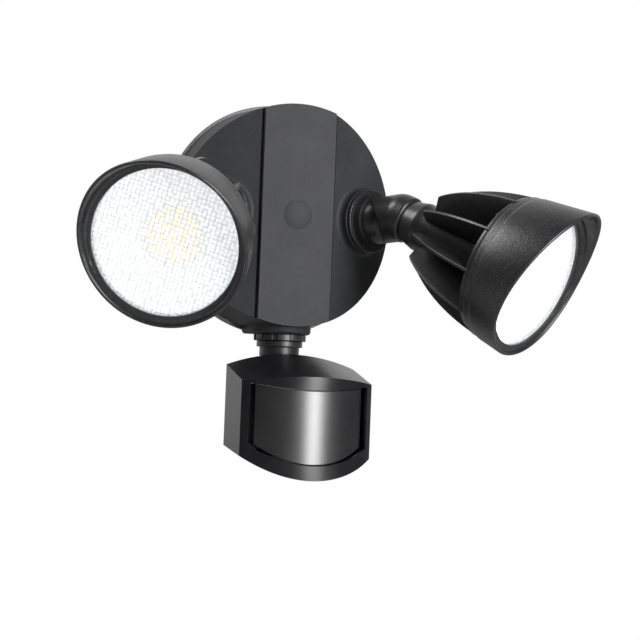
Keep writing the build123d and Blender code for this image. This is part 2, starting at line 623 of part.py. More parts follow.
with BuildPart() as heat_sink:
    with BuildSketch(Plane.XZ):
        with BuildLine():
            Polyline((SINK_BORE_R, NECK_START), (NECK_R, NECK_START), (NECK_R, ELBOW_END),
                     (COLLAR_R, ELBOW_END), *COLLAR_PROFILE, (CORE_R, CORE_END))
            ThreePointArc((CORE_R, CORE_END), CORE_FLARE, (CORE_FLARE_R, DISC_REAR))
            Polyline((CORE_FLARE_R, DISC_REAR), (DISC_R, DISC_REAR), (DISC_R, BEZEL_REAR),
                     (SINK_BORE_R, BEZEL_REAR), (SINK_BORE_R, NECK_START))
        make_face()
    revolve(axis=Axis.Z)
    with PolarLocations(0, FIN_COUNT):
        add(fin.part)
    with Locations(SCREW_TURN):
        Cylinder(PLATE_SCREW_R + SEAT_GAP, CUT / 4, align=MIN_Z, mode=Mode.SUBTRACT)
    for angle in BEZEL_SCREW_ANGLES:
        with Locations(Location((0, 0, BEZEL_REAR), (0, 0, angle)) * Location((BEZEL_SCREW_RING_R, 0, 0))):
            Cylinder(SMALL_R + SEAT_GAP, 2 * BEZEL_BOSS_H, mode=Mode.SUBTRACT)
    with PolarLocations(BOARD_SCREW_RING_R, BOARD_SCREW_COUNT):
        with Locations((0, 0, BEZEL_REAR)):
            Cylinder(SMALL_R + SEAT_GAP, 2 * BOARD_SCREW_LENGTH, mode=Mode.SUBTRACT)

NECK_SCREW_DEEP = 4.0      # into the neck
NECK_SCREW_SUNK = 0.4      # below the elbow's surface
NECK_KEY_R = 1.0
NECK_KEY_DEEP = 1.6
NECK_SCREW_END = KNUCKLE_R - NECK_SCREW_SUNK
with BuildPart(SCREW_TURN) as neck_screw:
    with Locations((0, 0, NECK_SCREW_END)):
        Cylinder(PLATE_SCREW_R, NECK_SCREW_END - NECK_R + NECK_SCREW_DEEP, align=MAX_Z)
    with BuildSketch(Plane(SCREW_TURN).offset(NECK_SCREW_END - NECK_KEY_DEEP)):
        RegularPolygon(NECK_KEY_R, 6)
    extrude(amount=2 * NECK_KEY_DEEP, mode=Mode.SUBTRACT)


def visor_r(along):
    """Outside radius of the visor at a distance along the beam."""
    return VISOR_R + VISOR_FLARE * (along - VISOR_START)


RIM_LIMIT = RIM_TOP + VISOR_WALL
RIM_REACH = visor_r(RIM_TOP)
RIM_OUTSIDE = RIM_REACH + COLLAR_R
BEZEL_WEB_RUN = LENS_BORE_R - BEZEL_SCREW_RING_R + BEZEL_EDGE / 2
SEAT_Z = LEDGE_FRONT - LEDGE_T
with BuildPart() as visor_bezel:
    with BuildSketch(Plane.XZ):
        with BuildLine():
            Polyline((LENS_BORE_R, BEZEL_REAR), (BEZEL_REAR_R - BEZEL_EDGE, BEZEL_REAR),
                     (BEZEL_REAR_R, BEZEL_REAR + BEZEL_EDGE), (BEZEL_REAR_R, BEZEL_REAR + BEZEL_BAND),
                     (VISOR_R, VISOR_START), (visor_r(RIM_LIMIT), RIM_LIMIT),
                     (visor_r(RIM_LIMIT) - VISOR_WALL, RIM_LIMIT),
                     (visor_r(LEDGE_FRONT) - VISOR_WALL, LEDGE_FRONT + LEDGE_RISE),
                     (LEDGE_LIP_R, LEDGE_FRONT + LEDGE_RISE), (LEDGE_LIP_R, LEDGE_FRONT),
                     (APERTURE_R, LEDGE_FRONT), (APERTURE_R, SEAT_Z), (LENS_BORE_R, SEAT_Z),
                     (LENS_BORE_R, BEZEL_REAR))
        make_face()
    revolve(axis=Axis.Z)
    for angle in BEZEL_SCREW_ANGLES:
        with Locations(Location((0, 0, BEZEL_REAR), (0, 0, angle)) * Location((BEZEL_SCREW_RING_R, 0, 0))):
            Cylinder(BEZEL_BOSS_R, BEZEL_BOSS_H, align=MIN_Z)
            Box(BEZEL_WEB_RUN, BEZEL_WEB, BEZEL_BOSS_H, align=(Align.MIN, Align.CENTER, Align.MIN))
            Cylinder(SMALL_R + SEAT_GAP, 2 * BEZEL_SCREW_LENGTH, mode=Mode.SUBTRACT)
    with BuildSketch(Plane.XZ):
        with BuildLine():
            ThreePointArc((-RIM_REACH, RIM_BOTTOM), (0, RIM_MIDDLE), (RIM_REACH, RIM_TOP))
            Polyline((RIM_REACH, RIM_TOP), (RIM_OUTSIDE, RIM_LIMIT), (RIM_OUTSIDE, CUT), (-RIM_OUTSIDE, CUT),
                     (-RIM_OUTSIDE, RIM_BOTTOM), (-RIM_REACH, RIM_BOTTOM))
        make_face()
    extrude(amount=CUT / 2, both=True, mode=Mode.SUBTRACT)
    fillet(visor_bezel.edges().filter_by(GeomType.BSPLINE).sort_by(SortBy.LENGTH)[-1], RIM_EDGE)

LENS_FRONT = SEAT_Z - 2 * SEAT_GAP
with BuildPart() as lens:
    with Locations((0, 0, LENS_FRONT)):
        Cylinder(LENS_BORE_R - SEAT_GAP, LENS_T, align=MAX_Z)

with BuildPart() as lens_gasket:
    with Locations((0, 0, LENS_FRONT - LENS_T)):
        Cylinder(LENS_BORE_R - SEAT_GAP, LENS_SEAL_T, align=MAX_Z)
        Cylinder(APERTURE_R, CUT, mode=Mode.SUBTRACT)

REFLECTOR_FRONT = LENS_FRONT - LENS_T - LENS_SEAL_T
REFLECTOR_REAR = REFLECTOR_FRONT - REFLECTOR_RISE
REFLECTOR_FLANGE_R = LENS_BORE_R - RUN_GAP
with BuildPart() as reflector:
    with BuildSketch(Plane.XZ):
        with BuildLine():
            Polyline((REFLECTOR_REAR_R, REFLECTOR_REAR), (APERTURE_R - REFLECTOR_T, REFLECTOR_FRONT),
                     (REFLECTOR_FLANGE_R, REFLECTOR_FRONT),
                     (REFLECTOR_FLANGE_R, REFLECTOR_FRONT - REFLECTOR_T),
                     (APERTURE_R, REFLECTOR_FRONT - REFLECTOR_T),
                     (REFLECTOR_REAR_R + 1.5 * REFLECTOR_T, REFLECTOR_REAR),
                     (REFLECTOR_REAR_R, REFLECTOR_REAR))
        make_face()
    revolve(axis=Axis.Z)

with BuildPart() as led_board:
    with Locations((0, 0, BEZEL_REAR)):
        Cylinder(BOARD_R, BOARD_T, align=MIN_Z)
        with PolarLocations(BOARD_SCREW_RING_R, BOARD_SCREW_COUNT):
            Cylinder(SMALL_R + SEAT_GAP, 4 * BOARD_T, mode=Mode.SUBTRACT)

with BuildPart() as led_chips:
    with Locations((0, 0, BEZEL_REAR + BOARD_T)):
        Box(CHIP, CHIP, CHIP_T, align=MIN_Z)
        for ring_r, count in zip(CHIP_RING_R, CHIP_RING_COUNTS):
            with PolarLocations(ring_r, count):
                Box(CHIP, CHIP, CHIP_T, align=MIN_Z)

with BuildPart() as board_screws:
    with PolarLocations(BOARD_SCREW_RING_R, BOARD_SCREW_COUNT):
        with Locations((0, 0, BEZEL_REAR + BOARD_T)):
            add(cap_screw(SMALL_R, BOARD_SCREW_LENGTH, BOARD_HEAD))

with BuildPart() as bezel_screws:
    for angle in BEZEL_SCREW_ANGLES:
        place = Location((0, 0, DISC_REAR), (0, 0, angle)) * Location((BEZEL_SCREW_RING_R, 0, 0), (180, 0, 0))
        with Locations(place):
            add(cap_screw(SMALL_R, BEZEL_SCREW_LENGTH, SMALL_HEAD))

ARM_PIECES = {"arm_base": arm_base, "arm_washer": arm_washer, "arm_nut": arm_nut}
ELBOW_PIECES = {"elbow": elbow, "swivel_bolt": swivel_bolt}
HEAD_PIECES = {"neck_screw": neck_screw, "heat_sink": heat_sink, "visor_bezel": visor_bezel, "lens": lens,
               "lens_gasket": lens_gasket, "reflector": reflector, "led_board": led_board,
               "led_chips": led_chips, "board_screws": board_screws, "bezel_screws": bezel_screws}
for side in ("right", "left"):
    for name, piece in ARM_PIECES.items():
        save_side(piece.part, name, side, arm_location(side))
    for name, piece in ELBOW_PIECES.items():
        save_side(piece.part, name, side, elbow_location(side))
    for name, piece in HEAD_PIECES.items():
        save_side(piece.part, name, side, elbow_location(side) * HEAD.location)

# ================================================================ sensor mount pieces
with BuildPart(Plane.XY.offset(MOUNT_BOTTOM - RUN_GAP)) as sensor_lock_ring:
    with Locations((0, SENSOR_Y)):
        Cylinder(LOCK_RING_R, MOUNT_BOTTOM - RUN_GAP - LOCK_RING_BOTTOM, align=MAX_Z)
        Cylinder(STEM_R + RUN_GAP, CUT, mode=Mode.SUBTRACT)
        with PolarLocations(LOCK_RING_R, LOCK_RING_SLOT_COUNT):
            Box(*LOCK_RING_SLOT, CUT, mode=Mode.SUBTRACT)
save(sensor_lock_ring.part, "sensor_lock_ring")

STEM_TOP = MOUNT_BOTTOM - RUN_GAP
STEM_SPIGOT_H = 18.0
STEM_BORE_R = 5.0
STEM_FLOOR = 1.5
with BuildPart() as sensor_stem:
    with Locations((0, SENSOR_Y, STEM_TOP)):
        Cylinder(SPIGOT_R, STEM_SPIGOT_H, align=MIN_Z)
        Cylinder(STEM_R, STEM_TOP - STEM_BOTTOM, align=MAX_Z)
    with Locations((0, SENSOR_Y, LOCK_RING_BOTTOM - RUN_GAP)):
        Cylinder(STEM_FLANGE_R, LOCK_RING_BOTTOM - RUN_GAP - STEM_FLANGE_BOTTOM, align=MAX_Z)
    with Locations((0, SENSOR_Y, PIVOT_Z)):
        Cylinder(TONGUE_R, 2 * TONGUE_HALF, rotation=(0, 90, 0))
        Box(2 * TONGUE_HALF, 2 * TONGUE_R, STEM_BOTTOM - PIVOT_Z + STEM_FLOOR, align=MIN_Z)
        Cylinder(PIVOT_R + SHAFT_GAP, CUT, rotation=(0, 90, 0), mode=Mode.SUBTRACT)
    with Locations((0, SENSOR_Y, STEM_BOTTOM + STEM_FLOOR)):
        Cylinder(STEM_BORE_R, CUT, align=MIN_Z, mode=Mode.SUBTRACT)
save(sensor_stem.part, "sensor_stem")

with BuildPart() as sensor_stem_nut:
    with BuildSketch(Plane.XY.offset(MOUNT_BOTTOM + MOUNT_T + RUN_GAP)):
        with Locations((0, SENSOR_Y)):
            RegularPolygon(NUT_AF / 2, 6, major_radius=False)
            Circle(SPIGOT_R + SEAT_GAP, mode=Mode.SUBTRACT)
    extrude(amount=NUT_T)
save(sensor_stem_nut.part, "sensor_stem_nut")

EAR_GAP = TONGUE_HALF + RUN_GAP
PIN_HEAD_R = 5.0
PIN_HEAD_H = 2.0
with BuildPart() as sensor_pivot_pin:
    with Locations((0, SENSOR_Y, PIVOT_Z)):
        Cylinder(PIVOT_R, 2 * (EAR_GAP + EAR_T), rotation=(0, 90, 0))
        for sign in (-1, 1):
            with Locations((sign * (EAR_GAP + EAR_T + PIN_HEAD_H / 2), 0, 0)):
                Cylinder(PIN_HEAD_R, PIN_HEAD_H, rotation=(0, 90, 0))
save(sensor_pivot_pin.part, "sensor_pivot_pin")


# ================================================================ sensor head
def sloped(angle):
    """Direction that runs from the rear of the sensor head to its front, falling at an angle."""
    return (0, -cos(radians(angle)), -sin(radians(angle)))


def sensor_envelope(inset):
    """Outside of the sensor head, or its hollow when inset by the shell thickness."""
    half = HEAD_HALF - inset
    front = HEAD_FRONT + inset
    corner = HEAD_CORNER + inset
    rear = HEAD_REAR + 1
    wide = 2 * HEAD_HALF
    with BuildPart() as envelope:
        with BuildSketch(Plane.XY.offset(-CUT)):
            with BuildLine():
                Polyline((-half, corner), (-half, rear), (half, rear), (half, corner))
                ThreePointArc((half, corner), (0, front), (-half, corner))
            make_face()
        extrude(amount=CUT + MOUNT_BOTTOM)
        with BuildSketch(Plane.XZ.offset(-rear)):
            with BuildLine():
                ThreePointArc((-half, ROOF_EDGE_Z - inset), (0, ROOF_EDGE_Z + ROOF_RISE - inset),
                              (half, ROOF_EDGE_Z - inset))
                Polyline((half, ROOF_EDGE_Z - inset), (wide, ROOF_EDGE_Z - inset), (wide, 0), (-wide, 0),
                         (-wide, ROOF_EDGE_Z - inset), (-half, ROOF_EDGE_Z - inset))
            make_face()
        extrude(amount=CUT / 2, dir=sloped(ROOF_SLOPE), mode=Mode.SUBTRACT)
        with BuildSketch(Plane.XZ.offset(-rear)):
            with BuildLine():
                ThreePointArc((-half, CHIN_EDGE_Z + inset), (0, CHIN_EDGE_Z - CHIN_DROP + inset),
                              (half, CHIN_EDGE_Z + inset))
                Polyline((half, CHIN_EDGE_Z + inset), (wide, CHIN_EDGE_Z + inset), (wide, -CUT),
                         (-wide, -CUT), (-wide, CHIN_EDGE_Z + inset), (-half, CHIN_EDGE_Z + inset))
            make_face()
        extrude(amount=CUT / 2, dir=sloped(CHIN_SLOPE), mode=Mode.SUBTRACT)
    return envelope.part


def window_block(grow):
    """Block whose outline is the lens window, arched above and below."""
    half = LENS_HALF if grow == 0 else WINDOW_HALF
    top_side = WINDOW_TOP_SIDE + grow
    top_middle = WINDOW_TOP_MIDDLE + grow
    bottom_side = WINDOW_BOTTOM_SIDE - grow
    bottom_middle = WINDOW_BOTTOM_MIDDLE - grow
    with BuildPart() as block:
        with BuildSketch(Plane.XZ.offset(-PIR_LENS_REAR)):
            with BuildLine():
                ThreePointArc((-half, top_side), (0, top_middle), (half, top_side))
                Line((half, top_side), (half, bottom_side))
                ThreePointArc((half, bottom_side), (0, bottom_middle), (-half, bottom_side))
                Line((-half, bottom_side), (-half, top_side))
            make_face()
        extrude(amount=CUT / 2)
    return block.part


outer_head = sensor_envelope(0)
inner_head = sensor_envelope(SHELL_T)
POCKET_HALF = 23.0
POCKET_FRONT = -73.0
POCKET_REAR = -57.0
POCKET_BLOCK = (2 * POCKET_HALF, POCKET_REAR - POCKET_FRONT, CUT)
POCKET_WALL_H = 24.0
SCREW_INSET = 5.6
SCREW_X = HEAD_HALF - SCREW_INSET
SCREW_Z = (-110.5, -150.0)
SCREW_POST_R = 3.6
SCREW_POST_H = 14.0
POST_REAR = HEAD_REAR - REAR_PLATE_T - RUN_GAP
SENSOR_SCREW_LENGTH = 10.0

with BuildPart() as sensor_front_frame:
    add(outer_head)
    add(inner_head, mode=Mode.SUBTRACT)
    # walls round the pocket of the two dials
    with Locations((0, (POCKET_FRONT + POCKET_REAR) / 2, DIAL_POCKET_Z + SHELL_T)):
        Box(POCKET_BLOCK[0] + 2 * SHELL_T, POCKET_BLOCK[1] + 2 * SHELL_T, POCKET_WALL_H, align=MAX_Z)
    with Locations((0, (POCKET_FRONT + POCKET_REAR) / 2, DIAL_POCKET_Z)):
        Box(*POCKET_BLOCK, align=MAX_Z, mode=Mode.SUBTRACT)
    with Locations((-DIAL_X, DIAL_Y, DIAL_POCKET_Z), (DIAL_X, DIAL_Y, DIAL_POCKET_Z)):
        Cylinder(DIAL_SHAFT_R + SHAFT_GAP, 4 * SHELL_T, mode=Mode.SUBTRACT)
    add(outer_head, mode=Mode.INTERSECT)
    add(window_block(WINDOW_GAP), mode=Mode.SUBTRACT)
    # screw posts
    for z in SCREW_Z:
        with Locations((-SCREW_X, POST_REAR, z), (SCREW_X, POST_REAR, z)):
            Cylinder(SCREW_POST_R, SCREW_POST_H, rotation=(90, 0, 0), align=MIN_Z)
            Cylinder(SMALL_R + SEAT_GAP, SENSOR_SCREW_LENGTH, rotation=(90, 0, 0), align=MIN_Z,
                     mode=Mode.SUBTRACT)
    with Locations((0, HEAD_REAR, 0)):
        Box(CUT, HEAD_HALF, 2 * CUT, align=(Align.CENTER, Align.MIN, Align.CENTER), mode=Mode.SUBTRACT)
save(sensor_front_frame.part, "sensor_front_frame")

with BuildPart() as sensor_lens:
    with BuildSketch(Plane.XY.offset(-CUT)):
        lens_corner = PIR_LENS_FRONT + PIR_LENS_BULGE
        with BuildLine():
            Polyline((-LENS_HALF, lens_corner), (-LENS_HALF, PIR_LENS_REAR), (LENS_HALF, PIR_LENS_REAR),
                     (LENS_HALF, lens_corner))
            ThreePointArc((LENS_HALF, lens_corner), (0, PIR_LENS_FRONT), (-LENS_HALF, lens_corner))
        make_face()
        with BuildLine():
            inside = LENS_HALF - PIR_LENS_T
            Polyline((-inside, lens_corner), (-inside, PIR_LENS_REAR), (inside, PIR_LENS_REAR),
                     (inside, lens_corner))
            ThreePointArc((inside, lens_corner), (0, PIR_LENS_FRONT + PIR_LENS_T), (-inside, lens_corner))
        make_face(mode=Mode.SUBTRACT)
    extrude(amount=CUT)
    add(window_block(0), mode=Mode.INTERSECT)
    with Locations((0, PIR_LENS_REAR, LENS_MIDDLE_Z)):
        Box(2 * (LENS_HALF + LENS_FLANGE), LENS_FLANGE_T, LENS_FLANGE_H,
            align=(Align.CENTER, Align.MIN, Align.CENTER))
        Box(2 * (LENS_HALF - LENS_OPENING_INSET), 5 * LENS_FLANGE_T, LENS_OPENING_H, mode=Mode.SUBTRACT)
save(sensor_lens.part, "sensor_lens")

REAR_HALF = 32.0
REAR_END = -17.0
REAR_END_HALF = 20.0
REAR_TOP = -117.0
REAR_BOTTOM = -141.0
REAR_END_BOTTOM = -130.0
REAR_CHAMFER_RUN = 16.0
REAR_STEP = 9.0
REAR_WALL = 4.0
REAR_HOLLOW = 16.0
REAR_GAP = 0.2
EAR_R = 9.5
REAR_ROOT = HEAD_REAR - REAR_PLATE_T / 2

with BuildPart() as sensor_rear_shell:
    add(sensor_envelope(SHELL_T + REAR_GAP))
    with Locations((0, HEAD_REAR, REAR_TOP)):
        Box(CUT, CUT, CUT, align=(Align.CENTER, Align.MIN, Align.CENTER), mode=Mode.SUBTRACT)
    with Locations((0, HEAD_REAR - REAR_PLATE_T, REAR_TOP)):
        Box(CUT, CUT, CUT, align=(Align.CENTER, Align.MAX, Align.CENTER), mode=Mode.SUBTRACT)
    with BuildSketch(Plane.XY.offset(REAR_BOTTOM)):
        with BuildLine():
            Polyline((-REAR_HALF, REAR_ROOT), (-REAR_HALF, HEAD_REAR + REAR_STEP), (-REAR_END_HALF, REAR_END),
                     (REAR_END_HALF, REAR_END), (REAR_HALF, HEAD_REAR + REAR_STEP), (REAR_HALF, REAR_ROOT),
                     (-REAR_HALF, REAR_ROOT))
        make_face()
    extrude(amount=REAR_TOP - REAR_BOTTOM)
    with BuildSketch(Plane.YZ):
        with BuildLine():
            Polyline((REAR_END + 1, REAR_BOTTOM - 1), (REAR_END + 1, REAR_END_BOTTOM),
                     (REAR_END - REAR_CHAMFER_RUN, REAR_BOTTOM - 1), (REAR_END + 1, REAR_BOTTOM - 1))
        make_face()
    extrude(amount=CUT / 2, both=True, mode=Mode.SUBTRACT)
    for sign in (-1, 1):
        with Locations((sign * (EAR_GAP + EAR_T / 2), SENSOR_Y, PIVOT_Z)):
            Cylinder(EAR_R, EAR_T, rotation=(0, 90, 0))
            Box(EAR_T, 2 * EAR_R, PIVOT_Z - REAR_TOP + 1, align=MAX_Z)
    with Locations((0, SENSOR_Y, PIVOT_Z)):
        Cylinder(PIVOT_R + SEAT_GAP, CUT, rotation=(0, 90, 0), mode=Mode.SUBTRACT)
    with Locations((0, HEAD_REAR - REAR_PLATE_T - 1, (REAR_TOP + REAR_BOTTOM) / 2)):
        Box(2 * (REAR_HALF - REAR_WALL), REAR_HOLLOW, REAR_TOP - REAR_BOTTOM - 2 * SHELL_T,
            align=(Align.CENTER, Align.MIN, Align.CENTER), mode=Mode.SUBTRACT)
    for z in SCREW_Z:
        with Locations((-SCREW_X, HEAD_REAR, z), (SCREW_X, HEAD_REAR, z)):
            Cylinder(SMALL_R + SEAT_GAP, 2 * SENSOR_SCREW_LENGTH, rotation=(90, 0, 0), mode=Mode.SUBTRACT)
save(sensor_rear_shell.part, "sensor_rear_shell")

with BuildPart() as sensor_screws:
    for z in SCREW_Z:
        for x in (-SCREW_X, SCREW_X):
            with Locations(Location((x, HEAD_REAR, z), (-90, 0, 0))):
                add(cap_screw(SMALL_R, SENSOR_SCREW_LENGTH, SMALL_HEAD))
save(sensor_screws.part, "sensor_screws")

SENSOR_BOARD = (56.0, 1.6, 34.0)
SENSOR_BOARD_SPOT = (0, -75.0, -132.0)
PIR_HOLE = 4.9
PIR_R = 4.6
PIR_H = 4.0
PIR_WINDOW = (3.0, 4.0)
PIR_WINDOW_DEEP = 0.1
with BuildPart() as sensor_board:
    with Locations(SENSOR_BOARD_SPOT):
        Box(*SENSOR_BOARD)
        Box(PIR_HOLE, 4 * BOARD_T, PIR_HOLE, mode=Mode.SUBTRACT)
save(sensor_board.part, "sensor_board")

with BuildPart() as pir_element:
    with Locations(Location(SENSOR_BOARD_SPOT, (90, 0, 0)) * Location((0, 0, SENSOR_BOARD[1] / 2))):
        Cylinder(PIR_R, PIR_H, align=MIN_Z)
        with Locations((0, 0, PIR_H - PIR_WINDOW_DEEP)):
            Box(*PIR_WINDOW, PIR_H, align=MIN_Z, mode=Mode.SUBTRACT)
save(pir_element.part, "pir_element")

with BuildPart() as dial_blank:
    with Locations((0, 0, -RUN_GAP)):
        Cylinder(DIAL_R, DIAL_H, align=MAX_Z)
        with PolarLocations(DIAL_R, DIAL_RIB_COUNT):
            Cylinder(DIAL_RIB_R, CUT, mode=Mode.SUBTRACT)
        Cylinder(DIAL_SHAFT_R, SHELL_T + RUN_GAP + DIAL_SHAFT_R, align=MIN_Z)
    with Locations((0, DIAL_R / 2, -RUN_GAP - DIAL_H)):
        Box(DIAL_NOTCH[0], DIAL_R, DIAL_NOTCH[1], mode=Mode.SUBTRACT)
for sign, name in ((-1, "dial_range"), (1, "dial_time")):
    save(dial_blank.part.moved(Location((sign * DIAL_X, DIAL_Y, DIAL_POCKET_Z))), name)
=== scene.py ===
"""Looks of a wall-mounted motion sensor security light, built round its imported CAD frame.

Lengths inside the classes are millimetres, in the frame of the piece that they belong to. Every mesh
is turned into metres and into the frame of the whole light when it is made.
"""
from __future__ import annotations

import json
import logging
import math
from dataclasses import dataclass
from enum import Enum
from typing import Any, Iterable, Sequence

import bmesh
import bpy
from mathutils import Matrix, Vector

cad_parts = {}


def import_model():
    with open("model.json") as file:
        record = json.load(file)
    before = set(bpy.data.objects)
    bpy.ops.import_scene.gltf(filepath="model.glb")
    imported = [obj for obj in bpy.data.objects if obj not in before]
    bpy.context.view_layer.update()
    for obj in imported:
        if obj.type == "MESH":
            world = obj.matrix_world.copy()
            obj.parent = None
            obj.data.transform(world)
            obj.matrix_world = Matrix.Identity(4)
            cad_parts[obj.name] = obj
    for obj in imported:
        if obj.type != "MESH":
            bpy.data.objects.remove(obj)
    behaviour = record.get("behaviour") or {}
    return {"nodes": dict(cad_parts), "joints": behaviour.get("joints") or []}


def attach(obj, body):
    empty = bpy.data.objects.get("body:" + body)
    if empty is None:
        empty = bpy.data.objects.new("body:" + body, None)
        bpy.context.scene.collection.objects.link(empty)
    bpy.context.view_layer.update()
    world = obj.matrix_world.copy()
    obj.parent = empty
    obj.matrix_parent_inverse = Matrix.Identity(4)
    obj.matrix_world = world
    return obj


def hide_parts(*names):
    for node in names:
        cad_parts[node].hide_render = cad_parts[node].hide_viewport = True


LOG = logging.getLogger("security_light")
MM = 0.001
FACE_MAP = "face"
WHITE = (1.0, 1.0, 1.0)

# Points closer than this, in metres, are one: in the CAD's triangles, a turned piece and a screw head.
SAME_PLACE = 1e-6
SAME_PLACE_TURNED = 1e-7
SAME_PLACE_SCREW = 1e-8
# A profile's corner takes at most this share of a side.
CORNER_SHARE = 0.4
# Faces this close to one plane are merged, sharper edges are rounded, and still sharper ones stay creased.
FLAT_DEG = 1.0
EDGE_DEG = 35.0
CREASE_DEG = 40.0
EDGE_SEGMENTS = 3

Colour = tuple[float, float, float]
Spot = tuple[float, float, float]
Band = tuple[float, float]
Point = tuple[float, float]
Profile = tuple[Point, ...]
MATERIALS: dict[str, bpy.types.Material] = {}


# ------------------------------------------------------------------------------------------- shader tools
class Signal:
    """A shader socket that does arithmetic: each operator adds one Math node to its tree."""

    def __init__(self, shader: "NodeTree", socket: bpy.types.NodeSocket) -> None:
        """Wrap a socket.

        Args:
            shader: the tree that holds the socket.
            socket: an output socket that gives a number.
        """
        self.shader = shader
        self.socket = socket

    def _math(self, operation: str, first: Any, second: Any) -> "Signal":
        """Add a Math node.

        Args:
            operation: Blender's name of the operation.
            first: first operand, a signal or a number.
            second: second operand, a signal or a number.

        Returns:
            The result as a signal.
        """
        node = self.shader.node("ShaderNodeMath", {"operation": operation}, {0: first, 1: second})
        return Signal(self.shader, node.outputs[0])

    def __add__(self, other: Any) -> "Signal":
        """Signal plus a signal or number."""
        return self._math("ADD", self, other)

    def __radd__(self, other: Any) -> "Signal":
        """Number plus signal."""
        return self._math("ADD", other, self)

    def __sub__(self, other: Any) -> "Signal":
        """Signal minus a signal or number."""
        return self._math("SUBTRACT", self, other)

    def __rsub__(self, other: Any) -> "Signal":
        """Number minus signal."""
        return self._math("SUBTRACT", other, self)

    def __mul__(self, other: Any) -> "Signal":
        """Signal times a signal or number."""
        return self._math("MULTIPLY", self, other)

    def __rmul__(self, other: Any) -> "Signal":
        """Number times signal."""
        return self._math("MULTIPLY", other, self)

    def __pow__(self, other: Any) -> "Signal":
        """Signal to a power."""
        return self._math("POWER", self, other)

    def at_most(self, other: Any) -> "Signal":
        """The smaller of the two."""
        return self._math("MINIMUM", self, other)

    def step(self, low: float, high: float) -> "Signal":
        """Smooth step from 0 at low to 1 at high.

        Args:
            low: value that gives 0.
            high: value that gives 1.

        Returns:
            The eased signal.
        """
        node = self.shader.node("ShaderNodeMapRange", {"interpolation_type": "SMOOTHSTEP"},
                                {"Value": self, "From Min": low, "From Max": high})
        return Signal(self.shader, node.outputs["Result"])


class NodeTree:
    """A node tree under construction."""

    def __init__(self, tree: bpy.types.NodeTree) -> None:
        """Wrap a tree.

        Args:
            tree: Blender's tree.
        """
        self.tree = tree

    def node(self, kind: str, settings: dict[str, Any] | None = None,
             inputs: dict[Any, Any] | None = None) -> bpy.types.Node:
        """Add any node.

        Args:
            kind: the node's type.
            settings: its properties, set before its inputs.
            inputs: socket name or index to a value, signal or output socket.

        Returns:
            The node.
        """
        node = self.tree.nodes.new(kind)
        for key, value in (settings or {}).items():
            setattr(node, key, value)
        for key, value in (inputs or {}).items():
            self.put(node.inputs[key], value)
        return node

    def put(self, socket: bpy.types.NodeSocket, value: Any) -> None:
        """Link or set one input socket.

        Args:
            socket: the input.
            value: a signal, an output socket, a number or a colour.
        """
        if isinstance(value, Signal):
            value = value.socket
        if isinstance(value, bpy.types.NodeSocket):
            self.tree.links.new(value, socket)
        elif isinstance(value, tuple) and len(value) == 3 and socket.type == "RGBA":
            socket.default_value = (*value, 1.0)
        else:
            socket.default_value = value


class Shader(NodeTree):
    """A material under construction."""

    def __init__(self, name: str) -> None:
        """Start an empty material with a Principled surface.

        Args:
            name: material name.
        """
        self.material = bpy.data.materials.new(name)
        self.material.use_nodes = True
        super().__init__(self.material.node_tree)
        self.tree.nodes.clear()
        self.output = self.node("ShaderNodeOutputMaterial")
        self.surface = self.node("ShaderNodeBsdfPrincipled")
        self.put(self.output.inputs["Surface"], self.surface.outputs[0])

    def set(self, **inputs: Any) -> None:
        """Set inputs of the surface.

        Args:
            inputs: input name, with _ for a space, to its value.
        """
        for key, value in inputs.items():
            self.put(self.surface.inputs[key.replace("_", " ")], value)

    def place(self) -> bpy.types.NodeSocket:
        """Object coordinates, in metres."""
        return self.node("ShaderNodeTexCoord").outputs["Object"]

    def uv(self, name: str) -> bpy.types.NodeSocket:
        """The piece's own coordinates, kept in a UV map."""
        return self.node("ShaderNodeUVMap", {"uv_map": name}).outputs["UV"]

    def noise(self, per_metre: float, detail: float = 2.0, roughness: float = 0.5,
              where: bpy.types.NodeSocket | None = None) -> Signal:
        """Noise from 0 to 1.

        Args:
            per_metre: features in a metre.
            detail: octaves.
            roughness: weight of the finer octaves.
            where: coordinates, object coordinates by default.

        Returns:
            The noise as a signal.
        """
        node = self.node("ShaderNodeTexNoise", {}, {
            "Vector": where or self.place(), "Scale": per_metre, "Detail": detail, "Roughness": roughness})
        return Signal(self, node.outputs["Fac"])

    def cells(self, per_metre: float, jitter: float, where: bpy.types.NodeSocket) -> Signal:
        """Distance from the middles of a pattern of cells.

        Args:
            per_metre: cells in a metre.
            jitter: 0 for a regular grid, 1 for a random one.
            where: coordinates.

        Returns:
            The distance as a signal.
        """
        node = self.node("ShaderNodeTexVoronoi", {"feature": "F1"}, {
            "Vector": where, "Scale": per_metre, "Randomness": jitter})
        return Signal(self, node.outputs["Distance"])

    def blend(self, factor: Any, first: Any, second: Any) -> bpy.types.NodeSocket:
        """Mix two colours.

        Args:
            factor: 0 for the first, 1 for the second.
            first: colour or socket.
            second: colour or socket.

        Returns:
            The mixed colour's socket.
        """
        node = self.node("ShaderNodeMix", {"data_type": "RGBA"}, {0: factor, 6: first, 7: second})
        return node.outputs[2]

    def bump(self, height: Any, depth_mm: float, strength: float = 1.0) -> None:
        """Feed the surface's normal from a height.

        Args:
            height: signal from 0 to 1.
            depth_mm: real depth of the relief.
            strength: share of the relief that shows.
        """
        inputs = {"Height": height, "Distance": depth_mm * MM, "Strength": strength}
        self.set(Normal=self.node("ShaderNodeBump", {}, inputs).outputs["Normal"])


